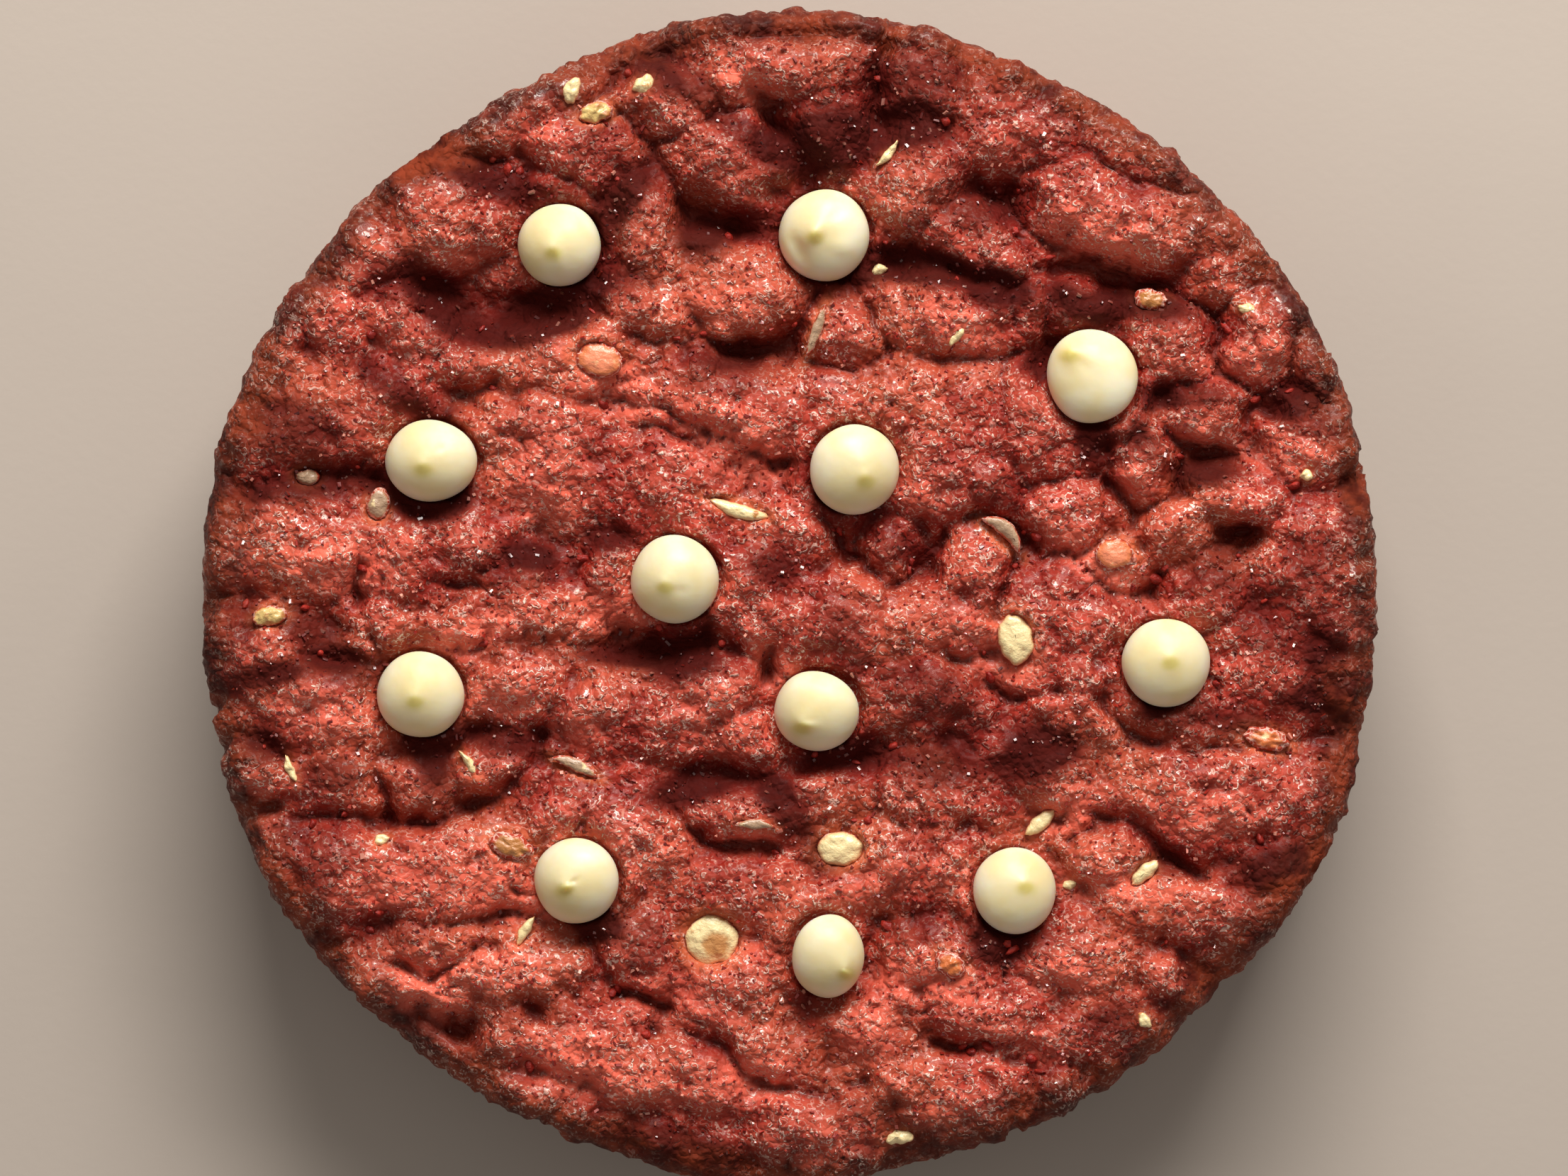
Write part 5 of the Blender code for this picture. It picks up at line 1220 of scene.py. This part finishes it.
def add_flake(name, place, length, width, turn, bow, rough, seed):
    """Data of a baked-in flake: an uneven flat-topped oval, sunk in the dough, in millimetres."""
    thickness = min(PIECE_THICKNESS, width * THICKEST_SHARE)
    mesh = bmesh.new()
    bmesh.ops.create_uvsphere(mesh, u_segments=40, v_segments=20, radius=1.0)
    points = numpy.array([vertex.co for vertex in mesh.verts])
    shore = numpy.hypot(points[:, 0], points[:, 1])
    core = numpy.hypot(points[:, 0] - CORE_PLACE[0], points[:, 1] - CORE_PLACE[1])
    angle = numpy.arctan2(points[:, 1], points[:, 0])
    size, height, crumbly_height = OUTLINE_WAVE
    wave = noise_at(numpy.cos(angle), numpy.sin(angle), size, seed)
    uneven = 1.0 + (height + crumbly_height * rough) * wave
    points[:, 0] *= uneven
    narrowing = POINTED * max(0.0, POINTED_UNDER - width) * numpy.abs(points[:, 0]) ** 1.5
    points[:, 1] *= uneven * (1.0 - narrowing)
    points[:, 2] = numpy.sign(points[:, 2]) * numpy.abs(points[:, 2]) ** FLATNESS
    bend = bow * (1.0 - points[:, 0] ** 2)
    points *= numpy.array((length / 2.0, width / 2.0, thickness / 2.0))
    size, height = SIDE_WAVE
    side = SIDES_APART * numpy.sign(points[:, 1])
    points[:, 1] += bend + height * noise_at(points[:, 0], side, size, seed)
    upper = points[:, 2] > 0.0
    for (size, height), strength in ((TOP_WAVE, 1.0), (CRUMBLY_WAVE, rough)):
        wave = noise_at(points[:, 0], points[:, 1], size, seed)
        points[:, 2] += height * strength * wave * upper
    level = BODY_HEIGHT + seated_level(place) - thickness * (0.5 - PIECE_PROUD)
    turned = numpy.array(Matrix.Rotation(radians(turn), 3, "Z"))
    set_points(mesh, points @ turned.T + numpy.array((*place, level)))
    data = to_data(mesh, name)
    add_shares(data, "shore", shore)
    add_shares(data, "core", core)
    return data


def scattered(name, template, places, sizes, rng):
    """One mesh of many small uneven grains, each a turned and stretched copy of a template."""
    corners = numpy.array([vertex.co for vertex in template.verts])
    faces = numpy.array([[vertex.index for vertex in face.verts] for face in template.faces])
    count = len(places)
    turns = rng.normal(size=(count, 4))
    w, x, y, z = (turns / numpy.linalg.norm(turns, axis=1, keepdims=True)).T
    rotations = numpy.array((
        (1 - 2 * (y * y + z * z), 2 * (x * y - w * z), 2 * (x * z + w * y)),
        (2 * (x * y + w * z), 1 - 2 * (x * x + z * z), 2 * (y * z - w * x)),
        (2 * (x * z - w * y), 2 * (y * z + w * x), 1 - 2 * (x * x + y * y)),
    )).transpose(2, 0, 1)
    uneven = corners[None] * (1.0 + rng.normal(0.0, 0.15, (count, len(corners), 1)))
    stretched = uneven * rng.uniform(0.6, 1.0, (count, 1, 3))
    stretched[:, :, 0] *= rng.uniform(1.0, 2.2, (count, 1))
    points = stretched @ rotations * sizes[:, None, None] + places[:, None]
    numbers = faces[None] + (numpy.arange(count) * len(corners))[:, None, None]
    data = bpy.data.meshes.new(name)
    data.from_pydata(points.reshape(-1, 3) * MM, [], numbers.reshape(-1, faces.shape[1]))
    return data, len(corners)


def dough_samples(rng, count, keep):
    """Random vertices of the finished dough: their places, normals and shares."""
    data = bpy.data.objects["pie_dough"].data
    points = read_vertices(data) / MM
    normals = numpy.empty(len(points) * 3, dtype=numpy.float32)
    data.vertex_normals.foreach_get("vector", normals)
    shares = {}
    for share in ("hollow", "moist", "crust"):
        shares[share] = numpy.empty(len(points), dtype=numpy.float32)
        data.attributes[share].data.foreach_get("value", shares[share])
    x, y, z = points.T
    clear = keep(x, y, z, shares)
    for place, size, tip in CHIPS.values():
        clear &= chip_distance(x, y, place, size) > CLEAR_OF_CHIP
    for place, length, width, turn, *_ in BAKED_PIECES.values():
        clear &= piece_distance(x, y, place, length, width, turn) > CLEAR_OF_PIECE
    chosen = rng.choice(numpy.flatnonzero(clear), count, replace=False)
    picked = {share: values[chosen] for share, values in shares.items()}
    return points[chosen], normals.reshape(-1, 3)[chosen], picked


class DressingOperator(bpy.types.Operator):
    """Base of the operators below"""
    bl_options = {"REGISTER", "UNDO"}


class COOKIE_PIE_OT_dough(DressingOperator):
    """Make the baked dough with its folds, grains, crust and base"""
    bl_idname = "cookie_pie.dough"
    bl_label = "Make the dough"

    def execute(self, context):
        settings = context.scene.cookie_pie_dough
        mesh = bmesh.new()
        add_body(mesh, settings.rings)
        data = to_data(mesh, "pie_dough")
        row = numpy.empty(len(data.vertices), dtype=numpy.int32)
        data.attributes["row"].data.foreach_get("value", row)
        points, from_edge = shape_body(read_vertices(data) / MM, row)
        data.vertices.foreach_set("co", (points * MM).ravel())
        data.update()
        x, y, z = points.T
        hollow, crease = hollow_fields()
        on_top = (row <= ROLL_ROWS).astype(float)
        # Depth below the dough around, for the painted shade in hollows and creases
        depth = sampled(hollow, x, y) * on_top
        add_shares(data, "hollow", depth)
        # Painted light on the convex tops of the lumps
        add_shares(data, "top", -TOP_PER_HOLLOW * depth)
        add_shares(data, "crease", sampled(crease, x, y) * on_top)
        add_shares(data, "stain", stain_at(x, y) * on_top)
        # Below 0 the tone is painted shade, above 0 it is painted light
        tone = painted_shade_and_light_at(x, y) * on_top
        add_shares(data, "moist", -tone)
        add_shares(data, "pale", tone)
        size, wave, seed = CRUST_WAVE
        reach = from_edge + wave * noise_at(x, y, size, seed)
        crust = numpy.where(row <= 1, 1.0 - smooth_step(*CRUST_EDGE, reach), 1.0)
        add_shares(data, "crust", crust)
        dough = add_object(data, "pie_dough", dough_surface(settings))
        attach(dough, "root")
        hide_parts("dough")
        return {"FINISHED"}


class COOKIE_PIE_OT_grains(DressingOperator):
    """Scatter sugar grains and loose crumbs over the dough"""
    bl_idname = "cookie_pie.grains"
    bl_label = "Scatter grains and crumbs"

    def scatter(self, name, material, template, count, radius, seed, keep, rise):
        rng = numpy.random.default_rng(seed)
        places, normals, shares = dough_samples(rng, count, keep)
        sizes = radius * rng.uniform(0.6, 1.5, count)
        places = places + normals * (sizes * rise)[:, None]
        template.verts.index_update()
        data, corners = scattered(name, template, places, sizes, rng)
        template.free()
        shares["tint"] = rng.uniform(0.0, 1.0, count)
        for share, values in shares.items():
            add_shares(data, share, numpy.repeat(values, corners))
        made = add_object(data, name, material)
        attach(made, "root")
        return made

    def execute(self, context):
        settings = context.scene.cookie_pie_grains
        dough = context.scene.cookie_pie_dough

        def anywhere(x, y, z, shares):
            return (z > LOWEST_GRAIN) & (shares["crust"] < MOST_CRUST)

        def lodged(x, y, z, shares):
            near = numpy.hypot(x, y) < FARTHEST_CRUMB
            return (z > LOWEST_CRUMB) & near & (shares["hollow"] > LEAST_HOLLOW)

        crystal = bmesh.new()
        bmesh.ops.create_cube(crystal, size=1.4)
        grains = self.scatter(
            "sugar_grains", grain_surface(settings, dough), crystal, settings.count,
            settings.radius / MM, GRAIN_SEED, anywhere, GRAIN_RISE,
        )
        grains.data.shade_flat()
        crumb = bmesh.new()
        bmesh.ops.create_icosphere(crumb, subdivisions=2, radius=1.0)
        self.scatter(
            "dough_crumbs", crumb_surface(dough), crumb, settings.crumbs, CRUMB_RADIUS,
            CRUMB_SEED, lodged, CRUMB_RISE,
        )
        return {"FINISHED"}


class COOKIE_PIE_OT_chips(DressingOperator):
    """Make the whole white chocolate chips on top"""
    bl_idname = "cookie_pie.chips"
    bl_label = "Make the whole chips"

    def execute(self, context):
        surface = chip_surface(context.scene.cookie_pie_chips)
        for number, (name, (place, size, tip)) in enumerate(CHIPS.items()):
            data = add_drop(name, place, size, tip, 3.0 * number)
            chip = add_object(data, name + "_drop", surface)
            smooth = chip.modifiers.new("smooth", "SUBSURF")
            smooth.levels = 1
            smooth.render_levels = 1
            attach(chip, "root")
            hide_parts(name)
        return {"FINISHED"}


class COOKIE_PIE_OT_baked(DressingOperator):
    """Make the pieces of chip that are baked into the dough"""
    bl_idname = "cookie_pie.baked"
    bl_label = "Make the baked-in pieces"

    def execute(self, context):
        settings = context.scene.cookie_pie_chips
        dough = context.scene.cookie_pie_dough
        surfaces = {look: baked_surface(look, settings, dough) for look in LOOKS}
        for number, (name, piece) in enumerate(BAKED_PIECES.items()):
            place, length, width, turn, bow, colour, look = piece
            rough = CRUMBLY_ROUGH * (look in ROUGH_LOOKS)
            data = add_flake(name + "_piece", place, length, width, turn, bow, rough, 2.0 * number)
            made = add_object(data, name + "_piece", surfaces[look])
            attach(made, "root")
            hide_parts(name)
        for number, (*place, length, width, turn) in enumerate(SLIVERS):
            name = "chip_sliver_" + str(number + 1)
            bow = SLIVER_BOW * (-1.0) ** number
            seed = 50.0 + number
            data = add_flake(name, place, length, width, turn, bow, SLIVER_ROUGH, seed)
            made = add_object(data, name, surfaces["cream"])
            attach(made, "root")
        return {"FINISHED"}


class COOKIE_PIE_OT_stage(DressingOperator):
    """Make the plain floor, the soft light and the camera above the pie"""
    bl_idname = "cookie_pie.stage"
    bl_label = "Make the floor, light and camera"

    def add_lamp(self, power):
        lamp = bpy.data.lights.new("window", "AREA")
        lamp.shape = "RECTANGLE"
        lamp.size, lamp.size_y = LAMP_SIZE
        lamp.energy = power
        lamp.color = LAMP_COLOUR
        made = bpy.data.objects.new("window", lamp)
        made.location = LAMP_PLACE
        toward = Vector(LAMP_AIM) - made.location
        made.rotation_euler = toward.to_track_quat("-Z", "Y").to_euler()
        bpy.context.scene.collection.objects.link(made)

    def execute(self, context):
        settings = context.scene.cookie_pie_stage
        scene = context.scene
        mesh = bmesh.new()
        bmesh.ops.create_circle(mesh, cap_ends=True, segments=96, radius=FLOOR_RADIUS)
        floor = add_object(to_data(mesh, "floor"), "floor", floor_surface(settings))
        self.add_lamp(settings.lamp_power)
        world = bpy.data.worlds.new("soft_room")
        world.use_nodes = True
        background = world.node_tree.nodes["Background"]
        background.inputs["Color"].default_value = ROOM_COLOUR
        background.inputs["Strength"].default_value = settings.fill
        scene.world = world
        per_px = PIE_DIAMETER / 2.0 / PIE_RADIUS_PX
        camera = bpy.data.cameras.new("camera")
        camera.sensor_width = SENSOR_WIDTH
        camera.lens = SENSOR_WIDTH * CAMERA_DISTANCE / (PHOTO_WIDTH * per_px)
        camera.clip_start = 0.01
        above = bpy.data.objects.new("camera", camera)
        above.location = (
            (PHOTO_WIDTH / 2.0 - PIE_MIDDLE_PX[0]) * per_px * MM,
            (PIE_MIDDLE_PX[1] - PHOTO_HEIGHT / 2.0) * per_px * MM,
            (CAMERA_DISTANCE + BODY_HEIGHT) * MM,
        )
        scene.collection.objects.link(above)
        scene.camera = above
        scene.view_settings.view_transform = "Standard"
        return {"FINISHED"}


class COOKIE_PIE_PT_panel(bpy.types.Panel):
    """Lists the steps that dress the pie"""
    bl_label = "Cookie pie"
    bl_space_type = "VIEW_3D"
    bl_region_type = "UI"
    bl_category = "Cookie pie"

    def draw(self, context):
        for operator in OPERATORS:
            self.layout.operator(operator.bl_idname)
        for name, kind in SETTINGS.items():
            box = self.layout.box()
            for row in kind.__annotations__:
                box.prop(getattr(context.scene, name), row)


SETTINGS = {
    "cookie_pie_dough": DoughSettings,
    "cookie_pie_grains": GrainSettings,
    "cookie_pie_chips": ChipSettings,
    "cookie_pie_stage": StageSettings,
}
OPERATORS = (
    COOKIE_PIE_OT_dough, COOKIE_PIE_OT_grains, COOKIE_PIE_OT_chips, COOKIE_PIE_OT_baked,
    COOKIE_PIE_OT_stage,
)


def register():
    for name, kind in SETTINGS.items():
        bpy.utils.register_class(kind)
        setattr(bpy.types.Scene, name, PointerProperty(type=kind))
    for kind in (*OPERATORS, COOKIE_PIE_PT_panel):
        bpy.utils.register_class(kind)


def unregister():
    for kind in reversed((*OPERATORS, COOKIE_PIE_PT_panel)):
        bpy.utils.unregister_class(kind)
    for name, kind in SETTINGS.items():
        delattr(bpy.types.Scene, name)
        bpy.utils.unregister_class(kind)


def main():
    register()
    bpy.ops.cookie_pie.dough()
    bpy.ops.cookie_pie.grains()
    bpy.ops.cookie_pie.chips()
    bpy.ops.cookie_pie.baked()
    bpy.ops.cookie_pie.stage()
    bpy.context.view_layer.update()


if __name__ == "__main__":
    main()
